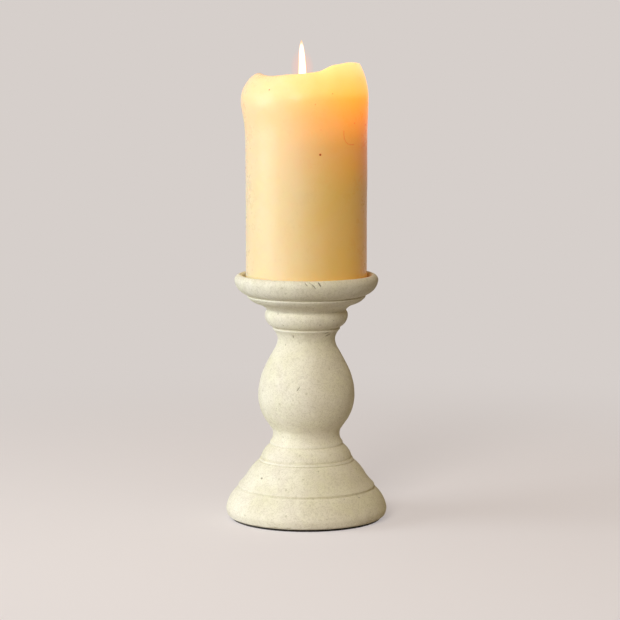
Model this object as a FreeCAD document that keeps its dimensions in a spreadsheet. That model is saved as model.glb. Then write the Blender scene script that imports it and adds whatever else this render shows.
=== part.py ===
import FreeCAD, Part
import math
import os

import Sketcher

# A pillar candle holder turned in three pieces of cast stone, drawn together by
# one threaded rod, with a felt pad under its foot and a burning pillar candle
# standing loose in its dish.
# Millimetres, +Z up, -Y is the front and +X the right-hand side. The origin is
# the centre of the felt pad's underside.

V = FreeCAD.Vector
# How close two sketch points, and two edges of a shell, count as meeting.
SAME_POINT = 1e-6
SAME_EDGE = 1e-4

SIZES = {
    # felt pad
    "felt_thickness": 1.5,
    "felt_radius": 43.2,
    # joints between the turned pieces: a spigot in a socket, round the rod
    "spigot_radius": 10.0,
    "socket_radius": 10.2,
    "foot_spigot_length": 4.0,
    "foot_socket_depth": 4.5,
    "dish_spigot_length": 2.8,
    "dish_socket_depth": 3.2,
    # M6 tie rod and its fastenings
    "rod_radius": 3.0,
    "rod_chamfer": 0.6,
    "rod_bore_radius": 3.4,
    "washer_radius": 9.0,
    "washer_hole_radius": 3.2,
    "washer_thickness": 1.6,
    "nut_across_flats": 10.0,
    "nut_thickness": 5.0,
    "nut_face_share": 0.95,
    "counterbore_radius": 10.5,
    "foot_counterbore_depth": 8.0,
    "dish_counterbore_depth": 7.2,
    "foot_rod_end_below_nut": 0.6,
    "dish_rod_end_above_nut": 0.3,
    # candle
    "wax_radius": 34.8,
    "burn_pool_level": 106.5,
    "burn_bowl_floor": 100.0,
    "burn_pool_reach": 32.0,
    "wick_radius": 1.3,
    "wick_base": 0.4,
    "wick_stand_height": 109.0,
    "wick_lean": 2.5,
    "wick_tip_height": 116.0,
    "tab_radius": 9.0,
    "tab_thickness": 0.4,
    "tab_neck_radius": 2.2,
    "tab_neck_height": 4.0,
    "flame_base_height": 111.5,
}

# Turned outlines. Each station is a name, its radius, its height above the
# piece's lower joint face, and how far the arc to the next station stands off
# its chord: 0 is a straight run, + is a bulge of the solid and - a hollow.
# The outline then closes along the axis.
FOOT_OUTLINE = [
    ("sole", 44.4, 0.0, 0.0),
    ("sole_edge", 45.5, 0.6, 0.15),
    ("widest", 46.6, 4.4, 1.25),
    ("toe_top", 39.9, 16.2, 0.0),
    ("toe_groove_low", 39.2, 16.5, 0.0),
    ("toe_groove_high", 39.2, 17.2, 0.0),
    ("skirt_low", 39.5, 17.6, 0.15),
    ("skirt_edge", 38.6, 19.0, -0.3),
    ("skirt_turn", 34.0, 24.9, 0.45),
    ("skirt_top", 27.9, 31.9, 0.0),
    ("band_groove", 27.15, 32.25, 0.0),
    ("band_low", 27.4, 32.65, 0.0),
    ("band_high", 27.0, 33.6, 0.0),
    ("shoulder_groove", 26.15, 34.0, 0.0),
    ("shoulder_low", 26.3, 34.5, 0.8),
    ("shoulder_high", 21.05, 41.7, 0.0),
    ("joint_edge", 20.95, 42.0, 0.0),
]
STEM_OUTLINE = [
    ("joint_edge", 20.95, 0.0, 0.0),
    ("lip", 21.2, 0.5, 0.0),
    ("lip_top", 21.0, 1.2, -0.45),
    ("neck", 19.36, 5.6, -0.27),
    ("belly_start", 20.3, 9.0, 0.0),
    ("belly_low", 23.8, 14.0, 1.07),
    ("belly", 27.95, 28.2, 0.96),
    ("belly_high", 24.1, 44.5, 0.15),
    ("throat_low", 17.95, 55.9, -0.31),
    ("throat", 16.65, 61.0, -0.5),
    ("fillet_low", 19.45, 66.4, 0.0),
    ("fillet_high", 19.5, 67.2, 0.0),
    ("bead_low", 19.2, 67.5, 1.15),
    ("bead", 24.05, 74.0, 0.35),
    ("bead_top", 23.0, 77.3, 0.0),
    ("crown_edge", 22.9, 77.6, 0.0),
]
DISH_OUTLINE = [
    ("joint_edge", 22.9, 0.0, 0.0),
    ("ogee_low", 23.1, 0.3, -0.41),
    ("ogee_turn", 28.4, 3.55, 0.46),
    ("ogee_high", 33.8, 7.0, 0.12),
    ("fillet", 34.2, 7.9, 0.12),
    ("rim_low", 33.4, 8.35, 1.8),
    ("rim_widest", 41.36, 16.6, 0.9),
    ("rim_crest", 38.6, 20.5, 0.45),
    ("mouth", 36.7, 18.9, 0.0),
    ("recess_wall", 36.5, 15.0, -0.25),
    ("recess_floor", 35.5, 13.8, 0.0),
]

FLAME_OUTLINE = [
    ("root", 0.0, 0.0, 0.0),
    ("swell", 1.7, 1.3, 0.3),
    ("belly", 2.5, 8.0, 0.05),
    ("taper", 2.0, 17.4, 0.15),
    ("nose", 1.1, 24.8, 0.0),
    ("tip", 0.0, 28.2, 0.0),
]

# The candle's rim where it has burned down: angle about the axis in degrees,
# counted from +X towards the back, and height above the candle's base.
RIM_HEIGHTS = [
    (0, 127.2),
    (60, 121.4),
    (110, 118.4),
    (150, 119.6),
    (180, 121.7),
    (222, 120.5),
    (262, 121.9),
    (282, 123.0),
    (303, 127.0),
    (325, 128.2),
    (360, 127.2),
]

# The wax skin's rings of poles, from the edge of the sole up the outside, over
# the rim and down to the floor of the bowl. Each is how far it stands outside
# the wax radius on the right and on the left, and its height above the
# candle's base on the right and on the left.
SIDE_RINGS = [
    (-0.8, -0.8, 0.0, 0.0),
    (0.0, 0.0, 0.0, 0.0),
    (0.0, 0.0, 1.6, 1.6),
    (0.0, 0.0, 30.0, 30.0),
    (0.0, 0.0, 58.0, 58.0),
    (0.0, 0.0, 80.0, 80.0),
    (0.2, 0.4, 93.0, 93.0),
    (0.6, 2.6, 102.0, 102.0),
]
# The same, with the heights as drops below the rim.
RIM_RINGS = [
    (0.6, 2.8, 15.5, 12.5),
    (-1.4, -0.2, 7.5, 6.0),
    (-3.6, -4.4, 2.3, 1.3),
    (-4.9, -8.4, 0.0, 0.0),
    (-6.2, -11.0, 1.8, 1.8),
]
# The same, with the heights above the floor of the bowl.
BOWL_RINGS = [
    (-7.2, -9.8, 13.0, 13.0),
    (-6.8, -8.3, 7.5, 7.5),
    (-7.8, -8.8, 1.5, 1.5),
    (-10.8, -10.8, 0.0, 0.0),
    (-16.8, -16.8, 0.0, 0.0),
]
RING_POLES = 24


def station_cell(piece, station, measure):
    """The alias of one measure of one outline station."""
    return f"{piece}_{station}_{measure}"


def make_sheet(doc):
    """The spreadsheet that holds the driving sizes and every turned station."""
    values = dict(SIZES)
    outlines = {
        "foot": FOOT_OUTLINE,
        "stem": STEM_OUTLINE,
        "dish": DISH_OUTLINE,
        "flame": FLAME_OUTLINE,
    }
    for piece, outline in outlines.items():
        for station, radius, height, bulge in outline:
            values[station_cell(piece, station, "radius")] = radius
            values[station_cell(piece, station, "height")] = height
            values[station_cell(piece, station, "bulge")] = bulge
    sheet = doc.addObject("Spreadsheet::Sheet", "Sizes")
    for row, (name, value) in enumerate(values.items(), start=1):
        sheet.set(f"A{row}", name)
        sheet.set(f"B{row}", str(value))
        sheet.setAlias(f"B{row}", name)
    doc.recompute()
    return sheet


def bind(thing, sizes):
    """Drive an object's properties with expressions over the sheet."""
    for path, expression in sizes.items():
        thing.setExpression(path, expression)


def new_body(doc, label, base):
    """An empty body whose own z = 0 stands at the height the expression gives."""
    body = doc.addObject("PartDesign::Body", label)
    body.Label = label
    bind(body, {"Placement.Base.z": base})
    return body


def new_sketch(body, name, role):
    """A sketch on one of the body's own origin planes."""
    sketch = body.newObject("Sketcher::SketchObject", name)
    plane = [f for f in body.Origin.OriginFeatures if f.Role == role][0]
    sketch.AttachmentSupport = (plane, [""])
    sketch.MapMode = "FlatFace"
    return sketch


def arc_middle(start, end, bulge):
    """The middle point of the arc that stands off its chord by the bulge."""
    chord = end - start
    outward = V(chord.y, -chord.x, 0).normalize()
    return (start + end) * 0.5 + outward * bulge


def end_at(sketch, edge, point):
    """Which end of a sketch edge lies at the point: 1 is its start, 2 its end."""
    return 1 if (sketch.getPoint(edge, 1) - point).Length < SAME_POINT else 2


def hold_point(sketch, edge, end, point, radius_cell, height_cell):
    """Tie a sketch point to its cells, or to an axis that it lies on."""
    if point.x == 0:
        sketch.addConstraint(Sketcher.Constraint("PointOnObject", edge, end, -2))
    else:
        index = sketch.addConstraint(
            Sketcher.Constraint("DistanceX", -1, 1, edge, end, point.x))
        sketch.setExpression(f"Constraints[{index}]", f"Sizes.{radius_cell}")
    if point.y == 0:
        sketch.addConstraint(Sketcher.Constraint("PointOnObject", edge, end, -1))
    else:
        index = sketch.addConstraint(
            Sketcher.Constraint("DistanceY", -1, 1, edge, end, point.y))
        sketch.setExpression(f"Constraints[{index}]", f"Sizes.{height_cell}")


def hold_arc(sketch, edge, piece, start, end):
    """Tie an arc's radius to the chord and bulge that the cells give it."""
    run = f"(Sizes.{piece}_{end}_radius - Sizes.{piece}_{start}_radius)"
    rise = f"(Sizes.{piece}_{end}_height - Sizes.{piece}_{start}_height)"
    bulge = f"abs(Sizes.{piece}_{start}_bulge)"
    index = sketch.addConstraint(
        Sketcher.Constraint("Radius", edge, sketch.Geometry[edge].Radius))
    sketch.setExpression(
        f"Constraints[{index}]",
        f"({run}^2 + {rise}^2) / (8 * {bulge}) + {bulge} / 2")


def outline_sketch(body, piece, outline):
    """The closed outline of a turned piece, from the axis out, up and back."""
    sketch = new_sketch(body, f"{piece}_outline", "XZ_Plane")
    cells = [
        (station_cell(piece, name, "radius"), station_cell(piece, name, "height"))
        for name, radius, height, bulge in outline
    ]
    points = [V(radius, height, 0) for name, radius, height, bulge in outline]
    bulges = [bulge for name, radius, height, bulge in outline]
    # a flat end closes level to the axis, and a pointed one is already on it
    for end in (-1, 0):
        if outline[end][1] > 0:
            points.append(V(0, outline[end][2], 0))
            cells.append((None, cells[end][1]))
            bulges.append(0.0)
    count = len(points)
    edges = []
    for i in range(count):
        start, end = points[i], points[(i + 1) % count]
        if bulges[i]:
            edge = Part.Arc(start, arc_middle(start, end, bulges[i]), end)
        else:
            edge = Part.LineSegment(start, end)
        edges.append(sketch.addGeometry(edge))
    for i in range(count):
        previous = edges[i - 1]
        before = end_at(sketch, previous, points[i])
        after = end_at(sketch, edges[i], points[i])
        sketch.addConstraint(
            Sketcher.Constraint("Coincident", previous, before, edges[i], after))
    for i in range(count):
        end = end_at(sketch, edges[i], points[i])
        hold_point(sketch, edges[i], end, points[i], *cells[i])
    for i in range(len(outline)):
        if bulges[i]:
            hold_arc(sketch, edges[i], piece, outline[i][0], outline[i + 1][0])
    return sketch


def spin(body, name, sketch):
    """Turn an outline a full circle round the body's own Z axis."""
    feature = body.newObject("PartDesign::Revolution", name)
    feature.Profile = (sketch, [""])
    feature.ReferenceAxis = (sketch, ["V_Axis"])
    feature.Angle = 360
    return feature


def round_feature(body, kind, name, radius, height, base):
    """Add or cut a cylinder on the body's axis."""
    feature = body.newObject(f"PartDesign::{kind}Cylinder", name)
    bind(feature, {"Radius": radius, "Height": height, "Placement.Base.z": base})
    return feature


def circle_sketch(body, name, radius):
    """A circle about the body's axis whose radius an expression gives."""
    sketch = new_sketch(body, name, "XY_Plane")
    edge = sketch.addGeometry(Part.Circle(V(0, 0, 0), V(0, 0, 1), 1.0))
    sketch.addConstraint(Sketcher.Constraint("Coincident", edge, 3, -1, 1))
    index = sketch.addConstraint(Sketcher.Constraint("Radius", edge, 1.0))
    sketch.setExpression(f"Constraints[{index}]", radius)
    return sketch


# Heights of the assembly, each as an expression over the sheet.
FOOT_BASE = "Sizes.felt_thickness"
STEM_BASE = f"{FOOT_BASE} + Sizes.foot_joint_edge_height"
DISH_BASE = f"{STEM_BASE} + Sizes.stem_crown_edge_height"
CANDLE_BASE = f"{DISH_BASE} + Sizes.dish_recess_floor_height"
FOOT_SEAT = f"{FOOT_BASE} + Sizes.foot_counterbore_depth"
DISH_SEAT = f"{CANDLE_BASE} - Sizes.dish_counterbore_depth"
FASTENING = "Sizes.washer_thickness + Sizes.nut_thickness"
ROD_LOW = f"{FOOT_SEAT} - ({FASTENING} + Sizes.foot_rod_end_below_nut)"
ROD_HIGH = f"{DISH_SEAT} + ({FASTENING} + Sizes.dish_rod_end_above_nut)"


def make_felt_pad(doc):
    """The felt disc glued under the foot, which also closes its counterbore."""
    body = new_body(doc, "felt_pad", "0")
    pad = body.newObject("PartDesign::Pad", "felt_disc")
    pad.Profile = (circle_sketch(body, "felt_circle", "Sizes.felt_radius"), [""])
    bind(pad, {"Length": "Sizes.felt_thickness"})
    return body


def make_foot(doc):
    """The stepped foot, with the stem's socket and the lower nut's counterbore."""
    body = new_body(doc, "foot", FOOT_BASE)
    spin(body, "foot_turned", outline_sketch(body, "foot", FOOT_OUTLINE))
    top = "Sizes.foot_joint_edge_height"
    round_feature(body, "Subtractive", "foot_rod_bore", "Sizes.rod_bore_radius", top, "0")
    round_feature(body, "Subtractive", "foot_counterbore", "Sizes.counterbore_radius",
                  "Sizes.foot_counterbore_depth", "0")
    round_feature(body, "Subtractive", "foot_socket", "Sizes.socket_radius",
                  "Sizes.foot_socket_depth", f"{top} - Sizes.foot_socket_depth")
    return body


def make_stem(doc):
    """The baluster stem, with a spigot at each end and a bore for the rod."""
    body = new_body(doc, "stem", STEM_BASE)
    spin(body, "stem_turned", outline_sketch(body, "stem", STEM_OUTLINE))
    top = "Sizes.stem_crown_edge_height"
    lower = "Sizes.foot_spigot_length"
    upper = "Sizes.dish_spigot_length"
    round_feature(body, "Additive", "foot_spigot", "Sizes.spigot_radius", lower, f"-{lower}")
    round_feature(body, "Additive", "dish_spigot", "Sizes.spigot_radius", upper, top)
    round_feature(body, "Subtractive", "stem_rod_bore", "Sizes.rod_bore_radius",
                  f"{top} + {lower} + {upper}", f"-{lower}")
    return body


def make_dish(doc):
    """The dish: a recess for the candle over the upper nut's counterbore."""
    body = new_body(doc, "candle_dish", DISH_BASE)
    spin(body, "dish_turned", outline_sketch(body, "dish", DISH_OUTLINE))
    floor = "Sizes.dish_recess_floor_height"
    round_feature(body, "Subtractive", "dish_rod_bore", "Sizes.rod_bore_radius", floor, "0")
    round_feature(body, "Subtractive", "dish_socket", "Sizes.socket_radius",
                  "Sizes.dish_socket_depth", "0")
    round_feature(body, "Subtractive", "dish_counterbore", "Sizes.counterbore_radius",
                  "Sizes.dish_counterbore_depth", f"{floor} - Sizes.dish_counterbore_depth")
    return body


def make_tie_rod(doc):
    """The threaded rod, plain at its thread's outer diameter, with chamfered ends."""
    body = new_body(doc, "tie_rod", ROD_LOW)
    length = f"({ROD_HIGH}) - ({ROD_LOW})"
    rod = round_feature(body, "Additive", "rod_shank", "Sizes.rod_radius", length, "0")
    doc.recompute()
    rims = [
        f"Edge{i}" for i, edge in enumerate(rod.Shape.Edges, start=1)
        if len(edge.Vertexes) == 1
    ]
    chamfer = body.newObject("PartDesign::Chamfer", "rod_ends")
    chamfer.Base = (rod, rims)
    bind(chamfer, {"Size": "Sizes.rod_chamfer"})
    return body


def make_washer(doc, label, base):
    """A plain washer."""
    body = new_body(doc, label, base)
    height = "Sizes.washer_thickness"
    round_feature(body, "Additive", f"{label}_disc", "Sizes.washer_radius", height, "0")
    round_feature(body, "Subtractive", f"{label}_hole", "Sizes.washer_hole_radius", height, "0")
    return body


def make_nut(doc, label, base):
    """A hexagon nut with both faces chamfered, its hole at the rod's diameter."""
    prism = doc.addObject("Part::Prism", f"{label}_prism")
    prism.Polygon = 6
    bind(prism, {
        "Circumradius": "Sizes.nut_across_flats / sqrt(3)",
        "Height": "Sizes.nut_thickness",
    })
    narrow = "(Sizes.nut_across_flats / 2 * Sizes.nut_face_share)"
    wide = f"({narrow} + Sizes.nut_thickness * sqrt(3))"
    cones = []
    for name, low, high in [("lower", narrow, wide), ("upper", wide, narrow)]:
        cone = doc.addObject("Part::Cone", f"{label}_{name}_cone")
        bind(cone, {"Radius1": low, "Radius2": high, "Height": "Sizes.nut_thickness"})
        cones.append(cone)
    blank = doc.addObject("Part::MultiCommon", f"{label}_blank")
    blank.Shapes = [prism, *cones]
    hole = doc.addObject("Part::Cylinder", f"{label}_hole")
    bind(hole, {"Radius": "Sizes.rod_radius", "Height": "Sizes.nut_thickness"})
    nut = doc.addObject("Part::Cut", label)
    nut.Label = label
    nut.Base = blank
    nut.Tool = hole
    bind(nut, {"Placement.Base.z": base})
    return nut


def rim_height(angle):
    """The height of the burned rim at an angle in degrees, eased between stations."""
    for (start, low), (end, high) in zip(RIM_HEIGHTS, RIM_HEIGHTS[1:]):
        if start <= angle <= end:
            share = (1 - math.cos(math.pi * (angle - start) / (end - start))) / 2
            return low + (high - low) * share
    raise ValueError(f"no rim station spans {angle} degrees")


def ring_poles(ring, wax_radius, level):
    """The poles of one ring, eased from its right-hand to its left-hand values.

    The level turns an angle in degrees and a ring height into a height above
    the candle's base.
    """
    right, left, right_height, left_height = ring
    # a closed cubic runs inside its poles by this factor
    reach = (2 + math.cos(2 * math.pi / RING_POLES)) / 3
    poles = []
    for i in range(RING_POLES):
        angle = 2 * math.pi * i / RING_POLES
        leftness = (1 - math.cos(angle)) / 2
        radius = (wax_radius + right + (left - right) * leftness) / reach
        height = right_height + (left_height - right_height) * leftness
        poles.append(V(
            radius * math.cos(angle),
            radius * math.sin(angle),
            level(math.degrees(angle), height)))
    return poles


def wax_skin(sheet):
    """The candle as one closed skin: a cubic surface through rings of poles."""
    wax_radius = sheet.get("wax_radius")
    bowl_floor = sheet.get("burn_bowl_floor")
    levels = [
        (SIDE_RINGS, lambda angle, height: height),
        (RIM_RINGS, lambda angle, drop: rim_height(angle) - drop),
        (BOWL_RINGS, lambda angle, height: bowl_floor + height),
    ]
    rings = [
        ring_poles(ring, wax_radius, level)
        for group, level in levels for ring in group
    ]
    degree = 3
    spans = len(rings) - degree
    surface = Part.BSplineSurface()
    surface.buildFromPolesMultsKnots(
        [list(column) for column in zip(*rings)],
        [1] * (RING_POLES + 1),
        [degree + 1] + [1] * (spans - 1) + [degree + 1],
        list(range(RING_POLES + 1)),
        list(range(spans + 1)),
        True,
        False,
        degree,
        degree,
    )
    side = surface.toShape()
    caps = [
        Part.Face(Part.Wire(surface.vIso(level).toShape()))
        for level in (0, spans)
    ]
    solid = Part.Solid(Part.Shell([side, *caps]))
    solid.fix(SAME_EDGE, SAME_EDGE, SAME_EDGE)
    if solid.Volume < 0:
        solid.reverse()
    return solid


def candle_cylinder(doc, name, radius, low, high):
    """A cylinder on the candle's axis between two heights above its base."""
    cylinder = doc.addObject("Part::Cylinder", name)
    bind(cylinder, {
        "Radius": radius,
        "Height": f"({high}) - ({low})",
        "Placement.Base.z": f"{CANDLE_BASE} + {low}",
    })
    return cylinder


def cut_away(doc, name, base, tools):
    """The base with the tools cut from it, as one object."""
    if len(tools) == 1:
        tool = tools[0]
    else:
        tool = doc.addObject("Part::MultiFuse", f"{name}_tools")
        tool.Shapes = tools
    cut = doc.addObject("Part::Cut", name)
    cut.Label = name
    cut.Base = base
    cut.Tool = tool
    return cut


def make_wax_pillar(doc, sheet):
    """The candle's wax, bored for its wick and recessed below for the wick tab."""
    skin = doc.addObject("Part::Feature", "wax_skin")
    skin.Shape = wax_skin(sheet)
    bind(skin, {"Placement.Base.z": CANDLE_BASE})
    tab_top = "(Sizes.wick_base + Sizes.tab_thickness)"
    bores = [
        candle_cylinder(doc, "wick_bore", "Sizes.wick_radius", "0", "Sizes.burn_pool_level"),
        candle_cylinder(doc, "tab_recess", "Sizes.tab_radius", "0", tab_top),
        candle_cylinder(doc, "tab_neck_recess", "Sizes.tab_neck_radius", "0",
                        f"{tab_top} + Sizes.tab_neck_height"),
    ]
    return cut_away(doc, "wax_pillar", skin, bores)


def make_wick_tab(doc):
    """The tinned disc with a crimped neck that holds the wick's lower end."""
    body = new_body(doc, "wick_tab", f"{CANDLE_BASE} + Sizes.wick_base")
    neck_top = "(Sizes.tab_thickness + Sizes.tab_neck_height)"
    round_feature(body, "Additive", "tab_disc", "Sizes.tab_radius", "Sizes.tab_thickness", "0")
    round_feature(body, "Additive", "tab_neck", "Sizes.tab_neck_radius", neck_top, "0")
    round_feature(body, "Subtractive", "tab_hole", "Sizes.wick_radius", neck_top, "0")
    return body


def make_wick(doc):
    """The wick: straight up through the wax, then leaning to the left at its tip."""
    body = new_body(doc, "wick", CANDLE_BASE)
    path = new_sketch(body, "wick_path", "XZ_Plane")
    base = V(0, SIZES["wick_base"], 0)
    stand = V(0, SIZES["wick_stand_height"], 0)
    tip = V(-SIZES["wick_lean"], SIZES["wick_tip_height"], 0)
    rise = tip.y - stand.y
    radius = (rise ** 2 + tip.x ** 2) / (2 * -tip.x)
    half_turn = math.asin(rise / radius) / 2
    middle = stand + V(-radius * (1 - math.cos(half_turn)), radius * math.sin(half_turn), 0)
    stem = path.addGeometry(Part.LineSegment(base, stand))
    curl = path.addGeometry(Part.Arc(stand, middle, tip))
    curl_low = end_at(path, curl, stand)
    curl_high = end_at(path, curl, tip)
    path.addConstraint(Sketcher.Constraint("PointOnObject", stem, 1, -2))
    path.addConstraint(Sketcher.Constraint("Vertical", stem))
    path.addConstraint(Sketcher.Constraint("Tangent", stem, 2, curl, curl_low))
    for edge, end, point, size in [
        (stem, 1, base, "wick_base"),
        (stem, 2, stand, "wick_stand_height"),
        (curl, curl_high, tip, "wick_tip_height"),
    ]:
        index = path.addConstraint(
            Sketcher.Constraint("DistanceY", -1, 1, edge, end, point.y))
        path.setExpression(f"Constraints[{index}]", f"Sizes.{size}")
    index = path.addConstraint(
        Sketcher.Constraint("DistanceX", curl, curl_high, -1, 1, -tip.x))
    path.setExpression(f"Constraints[{index}]", "Sizes.wick_lean")
    section = circle_sketch(body, "wick_section", "Sizes.wick_radius")
    bind(section, {"AttachmentOffset.Base.z": "Sizes.wick_base"})
    doc.recompute()
    pipe = body.newObject("PartDesign::AdditivePipe", "wick_cord")
    pipe.Profile = (section, [""])
    pipe.Spine = (path, ["Edge1", "Edge2"])
    return body


def make_melt_pool(doc, wax, wick):
    """The molten wax: what the bowl holds round the wick, up to the pool's level."""
    block = candle_cylinder(doc, "pool_block", "Sizes.burn_pool_reach",
                            "Sizes.burn_bowl_floor", "Sizes.burn_pool_level")
    return cut_away(doc, "melt_pool", block, [wax, wick])


def make_flame(doc, wick):
    """The flame, standing upright round the wick's tip."""
    body = new_body(doc, "flame_shape", f"{CANDLE_BASE} + Sizes.flame_base_height")
    bind(body, {"Placement.Base.x": "-Sizes.wick_lean"})
    spin(body, "flame_turned", outline_sketch(body, "flame", FLAME_OUTLINE))
    return cut_away(doc, "flame", body, [wick])


def make_parts(doc, sheet):
    """Every sub-part of the holder and its candle."""
    parts = [
        make_felt_pad(doc),
        make_foot(doc),
        make_stem(doc),
        make_dish(doc),
        make_tie_rod(doc),
        make_washer(doc, "foot_washer", f"{FOOT_SEAT} - Sizes.washer_thickness"),
        make_nut(doc, "foot_nut", f"{FOOT_SEAT} - ({FASTENING})"),
        make_washer(doc, "dish_washer", DISH_SEAT),
        make_nut(doc, "dish_nut", f"{DISH_SEAT} + Sizes.washer_thickness"),
    ]
    wax = make_wax_pillar(doc, sheet)
    wick = make_wick(doc)
    parts += [wax, wick, make_wick_tab(doc)]
    parts += [make_melt_pool(doc, wax, wick), make_flame(doc, wick)]
    return parts


def check(doc, parts):
    """Stop if any object failed or any sub-part isn't one sound solid."""
    for thing in doc.Objects:
        if "Invalid" in thing.State or "Error" in thing.State:
            raise RuntimeError(f"{thing.Label} failed: {thing.State}")
    for part in parts:
        shape = part.Shape
        if shape.isNull() or not shape.isValid() or len(shape.Solids) != 1:
            raise RuntimeError(f"{part.Label} is not one sound solid")
        box = shape.optimalBoundingBox()
        print(f"{part.Label}: {shape.Volume / 1000:.2f} cm3, "
              f"z {box.ZMin:.2f} to {box.ZMax:.2f}, width {box.XLength:.2f}")


def main():
    """Build the document, check it and write one STEP file per sub-part."""
    doc = FreeCAD.newDocument("pillar_candle_holder")
    sheet = make_sheet(doc)
    parts = make_parts(doc, sheet)
    doc.recompute()
    check(doc, parts)
    os.makedirs("parts", exist_ok=True)
    for part in parts:
        part.Shape.exportStep(f"parts/{part.Label}.step")


main()
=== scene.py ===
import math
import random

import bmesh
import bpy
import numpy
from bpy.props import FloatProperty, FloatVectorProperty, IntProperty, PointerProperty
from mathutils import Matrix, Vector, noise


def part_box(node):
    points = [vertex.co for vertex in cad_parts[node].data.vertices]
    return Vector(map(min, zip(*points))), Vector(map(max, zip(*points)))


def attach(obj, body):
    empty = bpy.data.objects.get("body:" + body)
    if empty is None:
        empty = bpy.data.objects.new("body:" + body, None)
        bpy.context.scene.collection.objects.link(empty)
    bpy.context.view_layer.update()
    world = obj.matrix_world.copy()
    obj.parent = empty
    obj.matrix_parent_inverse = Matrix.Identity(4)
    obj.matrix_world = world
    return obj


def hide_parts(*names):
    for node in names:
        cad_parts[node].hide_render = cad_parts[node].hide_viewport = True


bl_info = {
    "name": "Pillar Candle Holder",
    "version": (1, 0, 0),
    "blender": (4, 5, 0),
    "location": "3D View > Sidebar > Holder",
    "description": "Dresses a turned cast-stone candle holder and its burning pillar candle",
    "category": "Object",
}

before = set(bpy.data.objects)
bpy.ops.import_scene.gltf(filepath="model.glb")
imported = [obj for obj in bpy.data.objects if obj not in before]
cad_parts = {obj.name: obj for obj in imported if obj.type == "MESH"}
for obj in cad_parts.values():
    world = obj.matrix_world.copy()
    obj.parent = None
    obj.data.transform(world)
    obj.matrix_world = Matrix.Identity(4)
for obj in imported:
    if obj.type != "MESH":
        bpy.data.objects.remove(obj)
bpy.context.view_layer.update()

MM = 0.001
TURN = 2 * math.pi

# Where the pieces stand, from the frame.
FOOT_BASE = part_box("foot")[0][2]
STEM_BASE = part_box("foot")[1][2]
DISH_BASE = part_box("candle_dish")[0][2]
CANDLE_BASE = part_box("wax_pillar")[0][2]
POOL_LOW, POOL_LEVEL = (corner[2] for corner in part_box("melt_pool"))
FLAME_LOW, FLAME_TIP = (corner[2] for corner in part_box("flame"))
FLAME_X = (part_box("flame")[0][0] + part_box("flame")[1][0]) / 2
WICK_FOOT, WICK_TIP = (corner[2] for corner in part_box("wick"))
ROD_LOW, ROD_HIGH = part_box("tie_rod")

# Outlines of the turned pieces in millimetres: each station is its radius, its
# height above the piece's lower joint face, how far the arc to the next station
# stands off its chord, and how much painted shade with dust darkens it, up to 1
# in a groove, a crease or under the candle, or how much wear and painted
# highlight lightens it, down to -1 on an edge, a bead or the dish's fillet. The
# last stations run back round a piece's spigots and through its bores. The
# flame's outline closes along its axis.
FOOT_OUTLINE = [
    (44.4, 0.0, 0.0, 0.5),
    (45.5, 0.6, 0.15, -0.5),
    (46.6, 4.4, 1.25, 0.0),
    (39.9, 16.2, 0.0, -0.3),
    (39.2, 16.5, 0.0, 0.5),
    (39.2, 17.2, 0.0, 0.4),
    (39.5, 17.6, 0.15, -0.3),
    (38.6, 19.0, -0.3, 0.0),
    (34.0, 24.9, 0.45, 0.0),
    (27.9, 31.9, 0.0, -0.2),
    (27.15, 32.25, 0.0, 0.5),
    (27.4, 32.65, 0.0, -0.7),
    (27.0, 33.6, 0.0, 0.0),
    (26.15, 34.0, 0.0, 0.4),
    (26.3, 34.5, 0.8, 0.0),
    (21.05, 41.7, 0.0, 0.0),
    (20.95, 42.0, 0.0, 0.1),
    (10.2, 42.0, 0.0, 0.0),
    (10.2, 37.5, 0.0, 0.0),
    (3.4, 37.5, 0.0, 0.0),
    (3.4, 8.0, 0.0, 0.0),
    (10.5, 8.0, 0.0, 0.0),
    (10.5, 0.0, 0.0, 0.0),
]
STEM_OUTLINE = [
    (20.95, 0.0, 0.0, 0.1),
    (21.2, 0.5, 0.0, -0.5),
    (21.0, 1.2, -0.45, 0.0),
    (19.36, 5.6, -0.27, 0.3),
    (20.3, 9.0, 0.0, 0.0),
    (23.8, 14.0, 1.07, 0.0),
    (27.95, 28.2, 0.96, 0.0),
    (24.1, 44.5, 0.15, 0.0),
    (17.95, 55.9, -0.31, 0.0),
    (16.65, 61.0, -0.5, 0.4),
    (19.45, 66.4, 0.0, -0.7),
    (19.5, 67.2, 0.0, -0.5),
    (19.2, 67.5, 1.15, 0.9),
    (24.05, 74.0, 0.35, 0.0),
    (23.0, 77.3, 0.0, 0.2),
    (22.9, 77.6, 0.0, 0.2),
    (10.0, 77.6, 0.0, 0.0),
    (10.0, 80.4, 0.0, 0.0),
    (3.4, 80.4, 0.0, 0.0),
    (3.4, -4.0, 0.0, 0.0),
    (10.0, -4.0, 0.0, 0.0),
    (10.0, 0.0, 0.0, 0.0),
]
DISH_OUTLINE = [
    (22.9, 0.0, 0.0, 0.2),
    (23.1, 0.3, -0.41, 0.2),
    (28.4, 3.55, 0.46, 0.1),
    (33.8, 7.0, 0.12, 0.0),
    (34.2, 7.9, 0.12, -1.0),
    (33.4, 8.35, 1.8, 0.3),
    (41.36, 16.6, 0.9, 0.0),
    (38.6, 20.5, 0.45, -0.3),
    (36.7, 18.9, 0.0, 0.2),
    (36.5, 15.0, -0.25, 0.8),
    (35.5, 13.8, 0.0, 1.0),
    (10.5, 13.8, 0.0, 0.0),
    (10.5, 6.6, 0.0, 0.5),
    (3.4, 6.6, 0.0, 0.5),
    (3.4, 3.2, 0.0, 0.0),
    (10.2, 3.2, 0.0, 0.0),
    (10.2, 0.0, 0.0, 0.0),
]
FLAME_OUTLINE = [
    (0.0, 0.0, 0.0, 0.0),
    (1.7, 1.3, 0.3, 0.0),
    (2.5, 8.0, 0.05, 0.0),
    (2.0, 17.4, 0.15, 0.0),
    (1.1, 24.8, 0.12, 0.0),
    (0.0, 28.1, 0.0, 0.0),
]
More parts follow.
